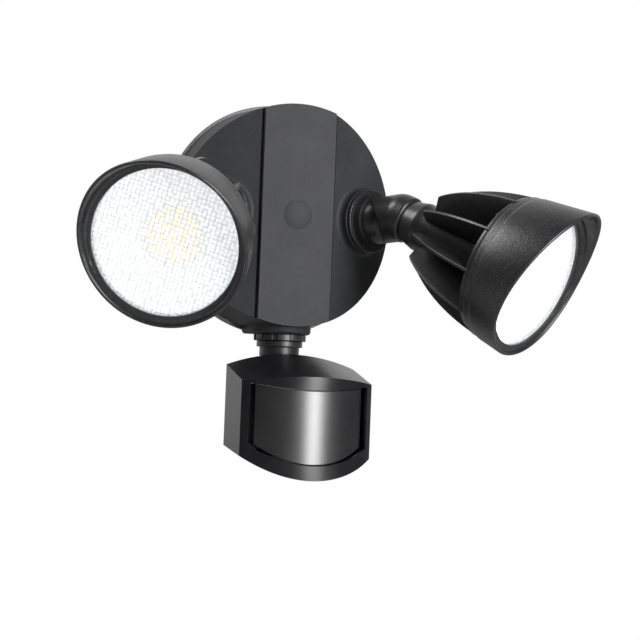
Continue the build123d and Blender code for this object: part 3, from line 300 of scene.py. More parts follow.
# ------------------------------------------------------------------------------------------- finishes
@dataclass(frozen=True)
class Textured:
    """Powder coat or coated casting: fine grain in the relief, worn and dusty variation in the tone, and light
    flecks painted in as glints.
    """

    name: str
    base: Colour
    light: Colour
    roughness: float = 0.5
    grain_per_m: float = 1500.0
    grain_mm: float = 0.12
    painted_glint_weight: float = 0.0
    specular: float = 0.5
    swing: float = 0.14
    coarse_share: float = 0.38
    cloud_per_m: float = 35.0
    tone_band: Band = (0.30, 0.72)
    painted_glint_scale: float = 1.7
    painted_glint_band: Band = (0.66, 0.80)
    painted_glint_colour: Colour = (0.33, 0.33, 0.34)

    def make(self) -> bpy.types.Material:
        """Build the material.

        Returns:
            The material.
        """
        s = Shader(self.name)
        grain = s.noise(self.grain_per_m, 3.0, 0.65)
        coarse = s.noise(self.grain_per_m * self.coarse_share, 1.0)
        cloud = s.noise(self.cloud_per_m, 4.0, 0.6)
        tone = (0.55 * cloud + 0.45 * grain).step(*self.tone_band)
        colour = s.blend(tone, self.base, self.light)
        # Light grey flecks mixed into the colour: painted glints that stand for the sparkle of the grain.
        if self.painted_glint_weight:
            painted_glint_mask = s.noise(self.grain_per_m * self.painted_glint_scale, 0.0).step(*self.painted_glint_band) * self.painted_glint_weight
            colour = s.blend(painted_glint_mask, colour, self.painted_glint_colour)
        s.set(Base_Color=colour, Roughness=(self.roughness - self.swing / 2) + self.swing * grain,
              Specular_IOR_Level=self.specular)
        s.bump(0.6 * grain + 0.4 * coarse, self.grain_mm)
        return s.material


@dataclass(frozen=True)
class Moulded:
    """Moulded plastic or rubber: smooth or satin, with faint handling marks and sink, and a painted glow where
    glow is set.
    """

    name: str
    base: Colour
    light: Colour
    roughness: float = 0.2
    haze: float = 0.06
    relief_mm: float = 0.02
    relief_per_m: float = 900.0
    specular: float = 0.5
    glow: float = 0.0
    smear_per_m: float = 60.0
    smear_band: Band = (0.35, 0.75)
    smear_middle: float = 0.4

    def make(self) -> bpy.types.Material:
        """Build the material.

        Returns:
            The material.
        """
        s = Shader(self.name)
        smear = s.noise(self.smear_per_m, 5.0, 0.62)
        fine = s.noise(self.relief_per_m, 2.0)
        colour = s.blend(smear.step(*self.smear_band), self.base, self.light)
        # glow makes the part emit its own colour: a painted glow, as no moulded part here is a lamp.
        s.set(Base_Color=colour, Roughness=self.roughness + self.haze * (smear - self.smear_middle),
              Specular_IOR_Level=self.specular, Emission_Color=colour, Emission_Strength=self.glow)
        s.bump(fine, self.relief_mm)
        return s.material


@dataclass(frozen=True)
class Plated:
    """Plated or bare metal with fine brushed variation."""

    name: str
    base: Colour
    dull: Colour
    roughness: float = 0.3
    swing: float = 0.2
    patch_per_m: float = 180.0
    patch_band: Band = (0.3, 0.75)
    brush_per_m: float = 2600.0
    brush_mm: float = 0.015

    def make(self) -> bpy.types.Material:
        """Build the material.

        Returns:
            The material.
        """
        s = Shader(self.name)
        patch = s.noise(self.patch_per_m, 4.0, 0.6)
        fine = s.noise(self.brush_per_m, 2.0)
        colour = s.blend(patch.step(*self.patch_band), self.base, self.dull)
        s.set(Base_Color=colour, Metallic=1.0, Roughness=self.roughness + self.swing * (patch - 0.5))
        s.bump(fine, self.brush_mm)
        return s.material


@dataclass(frozen=True)
class Pebbled:
    """Clear lens whose face is a close pattern of small pillow lenses, read from the lens's own UV map, with
    painted shade in the creases between pillows and a painted glow.
    """

    name: str
    pitch_mm: float = 2.6
    jitter: float = 0.3
    relief_mm: float = 0.30
    relief_shown: float = 0.3
    dome: float = 1.4
    fine_per_m: float = 700.0
    painted_shade_band: Band = (0.22, 0.60)
    tint: Colour = WHITE
    painted_shade_tint: Colour = (0.70, 0.71, 0.73)
    roughness: float = 0.06
    swing: float = 0.08
    clear: float = 0.72
    index: float = 1.4
    glow: float = 0.22

    def make(self) -> bpy.types.Material:
        """Build the material.

        Returns:
            The material.
        """
        s = Shader(self.name)
        where = s.uv(FACE_MAP)
        pillow = s.cells(1.0 / MM / self.pitch_mm, self.jitter, where)
        fine = s.noise(self.fine_per_m, 2.0, 0.5, where)
        # Grey painted shade in the creases between the pillows; the lens also emits this colour, a painted glow
        # on a part that is no lamp.
        pebble = s.blend(pillow.step(*self.painted_shade_band), self.tint, self.painted_shade_tint)
        s.set(Base_Color=pebble, Roughness=self.roughness + self.swing * fine, Transmission_Weight=self.clear,
              IOR=self.index, Emission_Color=pebble, Emission_Strength=self.glow)
        s.bump(1.0 - (pillow * self.dome).at_most(1.0) ** 2.0, self.relief_mm, self.relief_shown)
        return s.material


@dataclass(frozen=True)
class Emitter:
    """Yellow phosphor under clear silicone, faintly lit."""

    name: str
    base: Colour = (0.84, 0.66, 0.03)
    light: Colour = (0.92, 0.80, 0.10)
    patch_per_m: float = 900.0
    patch_band: Band = (0.3, 0.7)
    relief_mm: float = 0.04
    roughness: float = 0.22
    swing: float = 0.1
    silicone: float = 0.6
    glow: float = 0.7

    def make(self) -> bpy.types.Material:
        """Build the material.

        Returns:
            The material.
        """
        s = Shader(self.name)
        patch = s.noise(self.patch_per_m, 3.0)
        colour = s.blend(patch.step(*self.patch_band), self.base, self.light)
        s.set(Base_Color=colour, Roughness=self.roughness + self.swing * patch, Coat_Weight=self.silicone,
              Emission_Color=colour, Emission_Strength=self.glow)
        s.bump(patch, self.relief_mm)
        return s.material


class Finish(Enum):
    """The finishes that the light wears."""

    CANOPY = Textured("canopy_coat", (0.017, 0.0175, 0.019), (0.028, 0.0285, 0.030),
                      roughness=0.60, grain_per_m=1100.0, grain_mm=0.26, specular=0.28)
    ARM = Textured("arm_coat", (0.010, 0.010, 0.011), (0.017, 0.017, 0.018), roughness=0.34, grain_mm=0.035)
    SINK = Textured("sink_coat", (0.015, 0.015, 0.016), (0.025, 0.025, 0.026), roughness=0.33, grain_mm=0.04)
    # The visor's light flecks are painted glints.
    VISOR = Textured("visor_coat", (0.004, 0.004, 0.005), (0.010, 0.010, 0.011),
                     roughness=0.35, grain_per_m=1300.0, grain_mm=0.20, painted_glint_weight=0.30, specular=0.7)
    FRAME_PLASTIC = Moulded("frame_plastic", (0.006, 0.006, 0.007), (0.010, 0.010, 0.011),
                            roughness=0.30, haze=0.03, relief_mm=0.002, relief_per_m=500.0, specular=0.30)
    GLOSS = Moulded("gloss_plastic", (0.006, 0.006, 0.007), (0.010, 0.010, 0.011),
                    roughness=0.22, haze=0.03, relief_mm=0.002, relief_per_m=500.0)
    SENSOR_WINDOW = Moulded("sensor_window", (0.006, 0.006, 0.007), (0.009, 0.009, 0.010),
                            roughness=0.31, haze=0.01, relief_mm=0.0, relief_per_m=300.0, specular=1.0)
    SATIN = Moulded("satin_plastic", (0.012, 0.012, 0.013), (0.020, 0.020, 0.021),
                    roughness=0.38, haze=0.1, relief_mm=0.03)
    RUBBER = Moulded("rubber", (0.012, 0.012, 0.012), (0.020, 0.020, 0.020),
                     roughness=0.6, haze=0.1, relief_mm=0.05)
    FOAM = Textured("foam_pad", (0.018, 0.018, 0.018), (0.030, 0.030, 0.030),
                    roughness=0.85, grain_per_m=900.0, grain_mm=0.35)
    PLATE = Textured("plate_coat", (0.10, 0.10, 0.105), (0.14, 0.14, 0.145),
                     roughness=0.45, grain_per_m=1300.0, grain_mm=0.05)
    STEEL = Plated("plated_steel", (0.62, 0.62, 0.63), (0.42, 0.42, 0.43))
    BLACK_STEEL = Plated("black_steel", (0.05, 0.05, 0.055), (0.09, 0.09, 0.09), roughness=0.35)
    GREEN_STEEL = Plated("green_steel", (0.05, 0.33, 0.12), (0.03, 0.2, 0.07), roughness=0.35)
    LENS = Pebbled("pebbled_lens")
    # The reflector and the board glow: painted light, as neither is a lamp.
    REFLECTOR = Moulded("reflector", (0.86, 0.87, 0.87), (0.92, 0.92, 0.92), roughness=0.28, haze=0.08, glow=0.28)
    BOARD = Moulded("board", (0.84, 0.84, 0.82), (0.88, 0.88, 0.86), roughness=0.4, haze=0.1, glow=0.2)
    GREEN_BOARD = Moulded("green_board", (0.02, 0.10, 0.05), (0.03, 0.14, 0.07), roughness=0.35)
    CHIP = Emitter("lit_phosphor")
    CASE = Moulded("case_plastic", (0.60, 0.60, 0.58), (0.68, 0.68, 0.66), roughness=0.45)

    def material(self) -> bpy.types.Material:
        """The finish's material, built on first use."""
        if self.name not in MATERIALS:
            MATERIALS[self.name] = self.value.make()
        return MATERIALS[self.name]


# ------------------------------------------------------------------------------------------- mesh tools
def new_object(name: str, data: bpy.types.ID) -> bpy.types.Object:
    """Put a mesh, lamp or camera in the scene at the origin.

    Args:
        name: object name.
        data: its data; a mesh is already in place.

    Returns:
        The object.
    """
    made = bpy.data.objects.new(name, data)
    bpy.context.scene.collection.objects.link(made)
    return made


def smooth(mesh: bpy.types.Mesh, angle: float = 32.0) -> None:
    """Shade smooth, with sharp edges above an angle in degrees."""
    mesh.shade_smooth()
    mesh.set_sharp_from_angle(angle=math.radians(angle))


def finished(build: bmesh.types.BMesh, name: str) -> bpy.types.Mesh:
    """Turn a bmesh into a mesh.

    Args:
        build: the bmesh, which is freed.
        name: mesh name.

    Returns:
        The mesh.
    """
    mesh = bpy.data.meshes.new(name)
    build.to_mesh(mesh)
    build.free()
    return mesh


def lathe(name: str, rings: Sequence[Sequence[Point]], place: Matrix, closed: bool = True) -> bpy.types.Object:
    """Skin a ring of profiles.

    Args:
        name: object name.
        rings: one profile of (radius, along) points for each step of the turn, all the same length.
        place: matrix from the piece's millimetre frame to the light's frame.
        closed: True where each profile is a loop.

    Returns:
        The object, in place.
    """
    build = bmesh.new()
    steps = len(rings)
    columns = []
    for index, ring in enumerate(rings):
        turn = 2.0 * math.pi * index / steps
        columns.append([build.verts.new(place @ Vector((r * math.cos(turn), r * math.sin(turn), a)))
                        for r, a in ring])
    count = len(rings[0])
    for index in range(steps):
        here, there = columns[index], columns[(index + 1) % steps]
        for row in range(count if closed else count - 1):
            after = (row + 1) % count
            build.faces.new((here[row], there[row], there[after], here[after]))
    bmesh.ops.remove_doubles(build, verts=build.verts, dist=SAME_PLACE_TURNED)
    bmesh.ops.recalc_face_normals(build, faces=build.faces)
    mesh = finished(build, name)
    smooth(mesh)
    return new_object(name, mesh)


def rounded(points: Sequence[Point], radius: float, steps: int = 3, closed: bool = True) -> list[Point]:
    """Round the corners of a profile.

    Args:
        points: corners as (radius, along).
        radius: corner radius, cut down where a side is short.
        steps: segments of each corner.
        closed: True where the profile is a loop.

    Returns:
        The rounded profile.
    """
    result: list[Point] = []
    total = len(points)
    for index, corner in enumerate(points):
        if not closed and index in (0, total - 1):
            result.append(corner)
            continue
        here = Vector(corner)
        back = Vector(points[index - 1]) - here
        ahead = Vector(points[(index + 1) % total]) - here
        cut = min(radius, back.length * CORNER_SHARE, ahead.length * CORNER_SHARE)
        start, end = here + back.normalized() * cut, here + ahead.normalized() * cut
        for step in range(steps + 1):
            t = step / steps
            spot = start * (1 - t) ** 2 + here * (2 * t * (1 - t)) + end * t ** 2
            result.append((spot.x, spot.y))
    return result


def evaluated(made: bpy.types.Object) -> bpy.types.Object:
    """Turn an object's modifiers into its mesh.

    Args:
        made: the object, which loses its modifiers.

    Returns:
        The same object.
    """
    bpy.context.view_layer.update()
    graph = bpy.context.evaluated_depsgraph_get()
    mesh = bpy.data.meshes.new_from_object(made.evaluated_get(graph))
    made.modifiers.clear()
    made.data = mesh
    return made


def softened(node: str, name: str, width_mm: float) -> bpy.types.Object:
    """Copy a CAD node, merge its triangles and round its edges.

    Args:
        node: the CAD node.
        name: name of the copy.
        width_mm: bevel width.

    Returns:
        The copy, which stands for the node.
    """
    build = bmesh.new()
    build.from_mesh(FRAME.nodes[node].data)
    bmesh.ops.remove_doubles(build, verts=build.verts, dist=SAME_PLACE)
    bmesh.ops.dissolve_limit(build, angle_limit=math.radians(FLAT_DEG), verts=build.verts, edges=build.edges)
    made = new_object(name, finished(build, name))
    bevel = made.modifiers.new("edges", "BEVEL")
    bevel.width = width_mm * MM
    bevel.segments = EDGE_SEGMENTS
    bevel.limit_method = "ANGLE"
    bevel.angle_limit = math.radians(EDGE_DEG)
    bevel.use_clamp_overlap = True
    evaluated(made)
    smooth(made.data, CREASE_DEG)
    made.modifiers.new("flat_faces", "WEIGHTED_NORMAL").keep_sharp = True
    return evaluated(made)


@dataclass
class Frame:
    """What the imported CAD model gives."""

    nodes: dict[str, bpy.types.Object]
    joints: dict[str, dict[str, Any]]


FRAME = Frame({}, {})


# ------------------------------------------------------------------------------------------- repeats
class RadialRepeat(NodeTree):
    """Geometry Nodes tree that sets copies of one mesh evenly round an axis."""

    INPUTS = (("Count", "NodeSocketInt", 8), ("Radius", "NodeSocketFloat", 0.01),
              ("Spin", "NodeSocketFloat", 0.0), ("Seed", "NodeSocketInt", 7))

    def __init__(self) -> None:
        """Build the tree."""
        super().__init__(bpy.data.node_groups.new("radial_repeat", "GeometryNodeTree"))
        face = self.tree.interface
        face.new_socket("Geometry", in_out="INPUT", socket_type="NodeSocketGeometry")
        for name, kind, default in self.INPUTS:
            face.new_socket(name, in_out="INPUT", socket_type=kind).default_value = default
        face.new_socket("Material", in_out="INPUT", socket_type="NodeSocketMaterial")
        face.new_socket("Geometry", in_out="OUTPUT", socket_type="NodeSocketGeometry")
        given = self.node("NodeGroupInput").outputs
        index = self.node("GeometryNodeInputIndex").outputs[0]
        turn = self._maths("MULTIPLY", index, self._maths("DIVIDE", 2.0 * math.pi, given["Count"]))
        wobble = self.node("FunctionNodeRandomValue", {"data_type": "FLOAT"}, {"Seed": given["Seed"]}).outputs[1]
        spin = self._maths("MULTIPLY", wobble, given["Spin"])
        spot = self.node("ShaderNodeCombineXYZ", {}, {
            "X": self._maths("MULTIPLY", self._maths("COSINE", turn), given["Radius"]),
            "Y": self._maths("MULTIPLY", self._maths("SINE", turn), given["Radius"])}).outputs[0]
        facing = self.node("ShaderNodeCombineXYZ", {}, {"Z": self._maths("ADD", turn, spin)}).outputs[0]
        points = self.node("GeometryNodePoints", {}, {"Count": given["Count"]}).outputs[0]
        moved = self.node("GeometryNodeSetPosition", {}, {"Geometry": points, "Position": spot}).outputs[0]
        copies = self.node("GeometryNodeInstanceOnPoints", {}, {
            "Points": moved, "Instance": given["Geometry"], "Rotation": facing}).outputs[0]
        whole = self.node("GeometryNodeRealizeInstances", {}, {"Geometry": copies}).outputs[0]
        dressed = self.node("GeometryNodeSetMaterial", {}, {"Geometry": whole, "Material": given["Material"]})
        self.node("NodeGroupOutput", {}, {0: dressed.outputs[0]})

    def _maths(self, operation: str, *values: Any) -> bpy.types.NodeSocket:
        """Add a Math node.

        Args:
            operation: Blender's name of the operation.
            values: its operands.

        Returns:
            The result's socket.
        """
        return self.node("ShaderNodeMath", {"operation": operation}, dict(enumerate(values))).outputs[0]

    def apply(self, made: bpy.types.Object, place: Matrix, finish: Finish, count: int, radius_mm: float,
              spin_deg: float = 0.0) -> bpy.types.Object:
        """Repeat an object's mesh and put the result in the light's frame.

        Args:
            made: object whose mesh is one copy, in metres, at the origin of the repeat.
            place: matrix from the repeat's millimetre frame to the light's frame.
            finish: its finish.
            count: number of copies.
            radius_mm: distance from the axis.
            spin_deg: largest random turn of a copy about its own axis.

        Returns:
            The same object with all copies.
        """
        modifier = made.modifiers.new("repeat", "NODES")
        modifier.node_group = self.tree
        values = {"Count": count, "Radius": radius_mm * MM, "Spin": math.radians(spin_deg),
                  "Material": finish.material()}
        for item in self.tree.interface.items_tree:
            if item.in_out == "INPUT" and item.name in values:
                modifier[item.identifier] = values[item.name]
        evaluated(made)
        made.data.transform(place @ Matrix.Scale(1.0 / MM, 4))
        return made


@dataclass(frozen=True)
class ScrewHead:
    """Domed screw head with a cross recess; the shares are of its radius and its height."""

    radius: float
    height: float
    dome: Profile = ((0.0, 1.0), (0.55, 0.93), (0.9, 0.55), (1.0, 0.0), (0.0, 0.0))
    cross_reach: float = 0.6
    cross_half_width: float = 0.17
    cross_depth: float = 0.45
    steps: int = 32

    def build(self, name: str, up: Matrix) -> bpy.types.Object:
        """Make the head, in metres about the origin.

        Args:
            name: object name.
            up: matrix that places the head.

        Returns:
            The object.
        """
        reach, half = self.radius * self.cross_reach, self.radius * self.cross_half_width
        deep = self.height * self.cross_depth
        build = bmesh.new()
        rows = []
        for radius, height in ((self.radius * wide, self.height * high) for wide, high in self.dome):
            row = []
            for index in range(self.steps):
                turn = 2 * math.pi * index / self.steps
                x, y = radius * math.cos(turn), radius * math.sin(turn)
                inside = radius < reach and min(abs(x), abs(y)) < half and height > 0
                row.append(build.verts.new(Vector((x, y, height - (deep if inside else 0.0))) * MM))
            rows.append(row)
        for lower, upper in zip(rows, rows[1:]):
            for index in range(self.steps):
                after = (index + 1) % self.steps
                build.faces.new((lower[index], upper[index], upper[after], lower[after]))
        bmesh.ops.remove_doubles(build, verts=build.verts, dist=SAME_PLACE_SCREW)
        bmesh.ops.transform(build, matrix=up, verts=build.verts)
        bmesh.ops.recalc_face_normals(build, faces=build.faces)
        mesh = finished(build, name)
        smooth(mesh)
        return new_object(name, mesh)


def dress(made: bpy.types.Object, finish: Finish, body: str, slot: str, *nodes: str) -> bpy.types.Object:
    """Give a piece its finish and body.

    Args:
        made: the piece.
        finish: its finish.
        body: CAD body that it rides on.
        slot: not used.
        nodes: CAD nodes that it stands for.

    Returns:
        The piece.
    """
    made.data.materials.clear()
    made.data.materials.append(finish.material())
    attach(made, body)
    if nodes:
        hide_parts(*nodes)
    LOG.info("%s on %s, %d faces", made.name, body, len(made.data.polygons))
    return made


def stand_in(node: str, name: str, width_mm: float, finish: Finish, body: str, slot: str) -> None:
    """Put a dressed copy with rounded edges in a CAD node's place.

    Args:
        node: the CAD node.
        name: name of the copy.
        width_mm: bevel width.
        finish: its finish.
        body: CAD body that it rides on.
        slot: material slot in the record.
    """
    dress(softened(node, name, width_mm), finish, body, slot, node)


def paint(finish: Finish, *nodes: str) -> None:
    """Give CAD nodes that stay as they are their finish.

    Args:
        finish: the finish.
        nodes: the CAD nodes.
    """
    for node in nodes:
        made = FRAME.nodes[node]
        if not made.material_slots:
            made.data.materials.append(None)
        for slot in made.material_slots:
            slot.material = finish.material()


def joined(name: str, parts: Iterable[bpy.types.Object]) -> bpy.types.Object:
    """Join meshes that lie in one frame into one object.

    Args:
        name: object name.
        parts: the objects, which are removed.

    Returns:
        The joined object.
    """
    build = bmesh.new()
    for part in parts:
        build.from_mesh(part.data)
        bpy.data.objects.remove(part)
    mesh = finished(build, name)
    smooth(mesh)
    return new_object(name, mesh)


# ------------------------------------------------------------------------------------------- lamp heads
class Side(Enum):
    """The two lamps."""

    LEFT = "left"
    RIGHT = "right"


# Turn of each elbow about its swivel bolt at rest, in degrees.
REST_SWIVEL = {Side.LEFT: -11.3, Side.RIGHT: -4.8}


@dataclass
class Arm:
    """Placement of one lamp: the elbow's corner and the beam's direction, worked out from the joints."""

    side: Side
    slant: float = 45.0
    droop: float = 28.6
    elbow_run: float = 23.8

    def __post_init__(self) -> None:
        """Work out the head's matrix from the frame's joints."""
        mirror = -1.0 if self.side is Side.LEFT else 1.0
        pan = FRAME.joints[f"{self.side.value}_pan"]
        swivel = FRAME.joints[f"{self.side.value}_swivel"]
        flip = Matrix.Diagonal((mirror, 1.0, 1.0))
        out = flip @ (mirror * Vector(pan["axis"]))
        slanted = flip @ (mirror * Vector(swivel["axis"]))
        knuckle = flip @ Vector(swivel["pos_m"])
        slant = math.radians(self.slant)
        across = ((slanted - math.cos(slant) * out) / math.sin(slant)).normalized()
        up = out.cross(across)
        droop = math.radians(self.droop)
        turn = Matrix.Rotation(math.radians(REST_SWIVEL[self.side]), 3, slanted)
        beam = turn @ (math.cos(droop) * out - math.sin(droop) * up)
        crown = turn @ (math.cos(droop) * up + math.sin(droop) * out)
        corner = flip @ (knuckle + self.elbow_run * MM * (turn @ out))
        beam, crown = flip @ beam, flip @ crown
        turned = Matrix((crown, beam.cross(crown), beam)).transposed().to_4x4()
        self.place = Matrix.Translation(corner) @ turned @ Matrix.Scale(MM, 4)


@dataclass
class LampHead:
    """One lamp from the elbow corner to the visor's rim; a profile's points are (radius, along the beam)."""

    arm: Arm
    repeat: RadialRepeat
    turn_steps: int = 96

    drum_edge: float = 0.35
    elbow_edge: float = 0.3
    elbow_end: float = 7.0

    core_r: float = 16.0
    core_bore: float = 4.0
    core_foot: float = 1.0
    core_corner: float = 0.8
    spigot_r: float = 12.2
    collar_r: float = 14.2
    collar: Profile = ((15.0, 11.0), (16.8, 18.0))
    core_straight: Band = (22.5, 68.0)
    core_flare: Profile = ((18.0, 75.0), (23.0, 80.0))
    disc_flat_r: float = 33.0
    disc_fall: float = 1.0
    disc_r: float = 47.0
    disc_edge_r: float = 47.5
    disc_rear: float = 84.5

    fin_count: int = 10
    fin_t: float = 2.2
    fin_edge: float = 0.55
    fin_root: float = 2.0
    fin_start: float = 26.7
    fin_shoulder_r: float = 18.5
    fin_nose: Point = (27.2, 27.6)
    fin_back: Profile = ((28.3, 28.8), (41.3, 55.0))
    fin_foot_r: float = 48.5
    fin_steps: int = 14

    bezel_rear: float = 88.0
    bezel_r: float = 48.9
    bezel_bore: float = 47.4
    bezel_edge: float = 1.0
    bezel_swell: float = 0.3
    bezel_band: float = 5.5
    visor_start: float = 95.0
    visor_r: float = 50.0
    visor_corner: float = 0.5
    visor_steps: int = 160
    flare: float = 0.115
    flare_from: float = 100.0
    wall: float = 2.3
    rim_top: float = 134.2
    rim_middle: float = 118.3
    rim_bottom: float = 112.4
    rim_clear: float = 1.4
    rim_steps: int = 8

    ledge: float = 111.6
    ledge_rise: float = 3.0
    ledge_outer_r: float = 47.8
    ledge_inner_r: float = 47.2
    ledge_corner: float = 0.35
    aperture: float = 45.0

    lens_front: float = 109.4
    lens_t: float = 3.0
    lens_r: float = 47.3
    lens_edge: float = 0.3
    lens_gap: float = 0.2
    lens_rows: int = 24

    cone: Profile = ((19.5, 92.0), (24.0, 93.8), (34.0, 99.0), (44.0, 105.0), (47.1, 105.0), (47.1, 104.0),
                     (45.0, 104.0), (34.0, 97.6), (21.1, 92.0))
    cone_corner: float = 0.3
    board_t: float = 1.6
    board_screws: int = 3
    board_screw_ring: float = 20.8
    board_screw_r: float = 2.6
    board_screw_h: float = 1.0
    chip_rings: tuple[tuple[float, int], ...] = ((0.0, 1), (7.4, 6), (14.6, 13))
    chip_side: float = 3.2
    chip_t: float = 0.9
    chip_edge: float = 0.25
    chip_turn: float = 3.0

    @property
    def body(self) -> str:
        """The CAD body that the head rides on."""
        return f"{self.arm.side.value}_lamp"

    @property
    def board_front(self) -> float:
        """Distance of the board's front along the beam."""
        return self.bezel_rear + self.board_t

    def node(self, piece: str) -> str:
        """Name of one of this lamp's CAD nodes."""
        return f"{self.arm.side.value}_{piece}"

    def outside(self, along: float) -> float:
        """Outside radius of the visor at a distance along the beam."""
        return self.visor_r + self.flare * (along - self.visor_start)

    def rim(self, turn: float) -> float:
        """Where the visor ends.

        Args:
            turn: angle round the rim from its long side, in radians.

        Returns:
            Distance of the rim along the beam.
        """
        across = math.cos(turn)
        rise = (self.rim_top + self.rim_bottom) / 2 - self.rim_middle
        return self.rim_middle + (self.rim_top - self.rim_bottom) / 2 * across + rise * across ** 2

    def visor(self) -> None:
        """Bezel band, flared visor with its slanting rim and the stepped ledge round the lens."""
        rear, top, seat = self.bezel_rear, self.ledge + self.ledge_rise, self.lens_front + self.lens_gap
        base = rounded([(self.bezel_bore, rear), (self.bezel_r - self.bezel_edge, rear),
                        (self.bezel_r, rear + self.bezel_edge),
                        (self.bezel_r + self.bezel_swell, rear + self.bezel_band),
                        (self.visor_r, self.visor_start), (self.outside(self.flare_from), self.flare_from)],
                       self.visor_corner, 2, False)
        inner = rounded([(self.outside(self.ledge) - self.wall, top), (self.ledge_outer_r, top),
                         (self.ledge_inner_r, self.ledge), (self.aperture, self.ledge), (self.aperture, seat),
                         (self.bezel_bore, seat)], self.ledge_corner, 2, False)
        lip = self.wall / 2
        rings = []
        for index in range(self.visor_steps):
            rim = self.rim(2 * math.pi * index / self.visor_steps)
            edge = [(self.outside(rim) - lip + lip * math.cos(t), rim - lip + lip * math.sin(t))
                    for t in (math.pi * k / self.rim_steps for k in range(self.rim_steps + 1))]
            rings.append(base + edge + [(r, min(a, rim - self.rim_clear)) for r, a in inner])
        made = lathe(self.node("visor"), rings, self.arm.place)
        dress(made, Finish.VISOR, self.body, "head_cast", self.node("visor_bezel"))

    def heat_sink(self) -> None:
        """Turned core and disc, with cast fins set round it."""
        profile = rounded([(self.core_bore, self.core_foot), (self.spigot_r, self.core_foot),
                           (self.spigot_r, self.elbow_end), (self.collar_r, self.elbow_end), *self.collar,
                           *((self.core_r, along) for along in self.core_straight), *self.core_flare,
                           (self.disc_flat_r, self.disc_rear - self.disc_fall), (self.disc_r, self.disc_rear),
                           (self.disc_edge_r, self.bezel_rear), (self.core_bore, self.bezel_rear)],
                          self.core_corner)
        core = lathe(self.node("sink_core"), [profile] * self.turn_steps, self.arm.place)
        dress(core, Finish.SINK, self.body, "head_cast")
        fins = new_object(self.node("sink_fins"), self.fin())
        self.repeat.apply(fins, self.arm.place, Finish.SINK, self.fin_count, 0.0)
        smooth(fins.data)
        dress(fins, Finish.SINK, self.body, "head_cast", self.node("heat_sink"))

    def fin(self) -> bpy.types.Mesh:
        """One fin with rounded edges, in metres, standing along +X from the axis.

        Returns:
            The fin's mesh.
        """
        root = self.core_r - self.fin_root
        start, low, high = (Vector(point) for point in (*self.fin_back, (self.fin_foot_r, self.bezel_rear)))
        mid = 2 * low - (start + high) / 2
        outline = [(root, self.fin_start), (self.fin_shoulder_r, self.fin_start), self.fin_nose]
        for step in range(self.fin_steps + 1):
            t = step / self.fin_steps
            spot = start * (1 - t) ** 2 + mid * (2 * t * (1 - t)) + high * t ** 2
            outline.append((spot.x, spot.y))
        outline.append((root, self.bezel_rear))
        build = bmesh.new()
        verts = [build.verts.new((r * MM, -self.fin_t / 2 * MM, a * MM)) for r, a in outline]
        face = build.faces.new(verts)
        thick = bmesh.ops.extrude_face_region(build, geom=[face])
        moved = [v for v in thick["geom"] if isinstance(v, bmesh.types.BMVert)]
        bmesh.ops.translate(build, verts=moved, vec=(0.0, self.fin_t * MM, 0.0))
        bmesh.ops.recalc_face_normals(build, faces=build.faces)
        outer = [e for e in build.edges if abs(e.verts[0].co.y - e.verts[1].co.y) < SAME_PLACE]
        bmesh.ops.bevel(build, geom=outer, offset=self.fin_edge * MM, segments=3, profile=0.5, affect="EDGES")
        return finished(build, "fin")

    def lens(self) -> None:
        """Pebbled lens with its own flat coordinates in a UV map."""
        front, rear, radius = self.lens_front, self.lens_front - self.lens_t, self.lens_r
        rows = [radius * k / self.lens_rows for k in range(1, self.lens_rows)]
        profile = [(0.0, front), *((r, front) for r in rows), (radius, front - self.lens_edge), (radius, rear),
                   *((r, rear) for r in reversed(rows)), (0.0, rear)]
        made = lathe(self.node("lamp_lens"), [profile] * self.turn_steps, self.arm.place, False)
        layer = made.data.uv_layers.new(name=FACE_MAP)
        inverse = self.arm.place.inverted()
        for loop in made.data.loops:
            spot = inverse @ made.data.vertices[loop.vertex_index].co
            layer.data[loop.index].uv = (spot.x * MM, spot.y * MM)
        dress(made, Finish.LENS, self.body, "lamp_lens", self.node("lens"))

    def lamp_board(self) -> None:
        """Reflector cone, board, rings of yellow chips and the board's screws."""
        cone = rounded(self.cone, self.cone_corner)
        made = lathe(self.node("reflector_cone"), [cone] * self.turn_steps, self.arm.place)
        dress(made, Finish.REFLECTOR, self.body, "reflector_white", self.node("reflector"))
        chips = [self.repeat.apply(new_object("chip", self.chip()), self.arm.place, Finish.CHIP, count, radius,
                                   spin_deg=self.chip_turn) for radius, count in self.chip_rings]
        made = joined(self.node("chips"), chips)
        dress(made, Finish.CHIP, self.body, "phosphor", self.node("led_chips"))
        made = ScrewHead(self.board_screw_r, self.board_screw_h).build(
            self.node("board_screw_heads"), Matrix.Translation((0, 0, self.board_front * MM)))
        self.repeat.apply(made, self.arm.place, Finish.STEEL, self.board_screws, self.board_screw_ring)
        dress(made, Finish.STEEL, self.body, "steel", self.node("board_screws"))
        paint(Finish.BOARD, self.node("led_board"))

    def chip(self) -> bpy.types.Mesh:
        """One chip with bevelled edges, in metres, standing on the board.

        Returns:
            The chip's mesh.
        """
        size = Matrix.Diagonal((self.chip_side * MM, self.chip_side * MM, self.chip_t * MM, 1.0))
        build = bmesh.new()
        bmesh.ops.create_cube(build, size=1.0)
        bmesh.ops.transform(build, matrix=size, verts=build.verts)
        bmesh.ops.translate(build, vec=(0, 0, (self.board_front + self.chip_t / 2) * MM), verts=build.verts)
        bmesh.ops.bevel(build, geom=list(build.edges), offset=self.chip_edge * MM, segments=2, profile=0.5,
                        affect="EDGES")
        return finished(build, "chip")

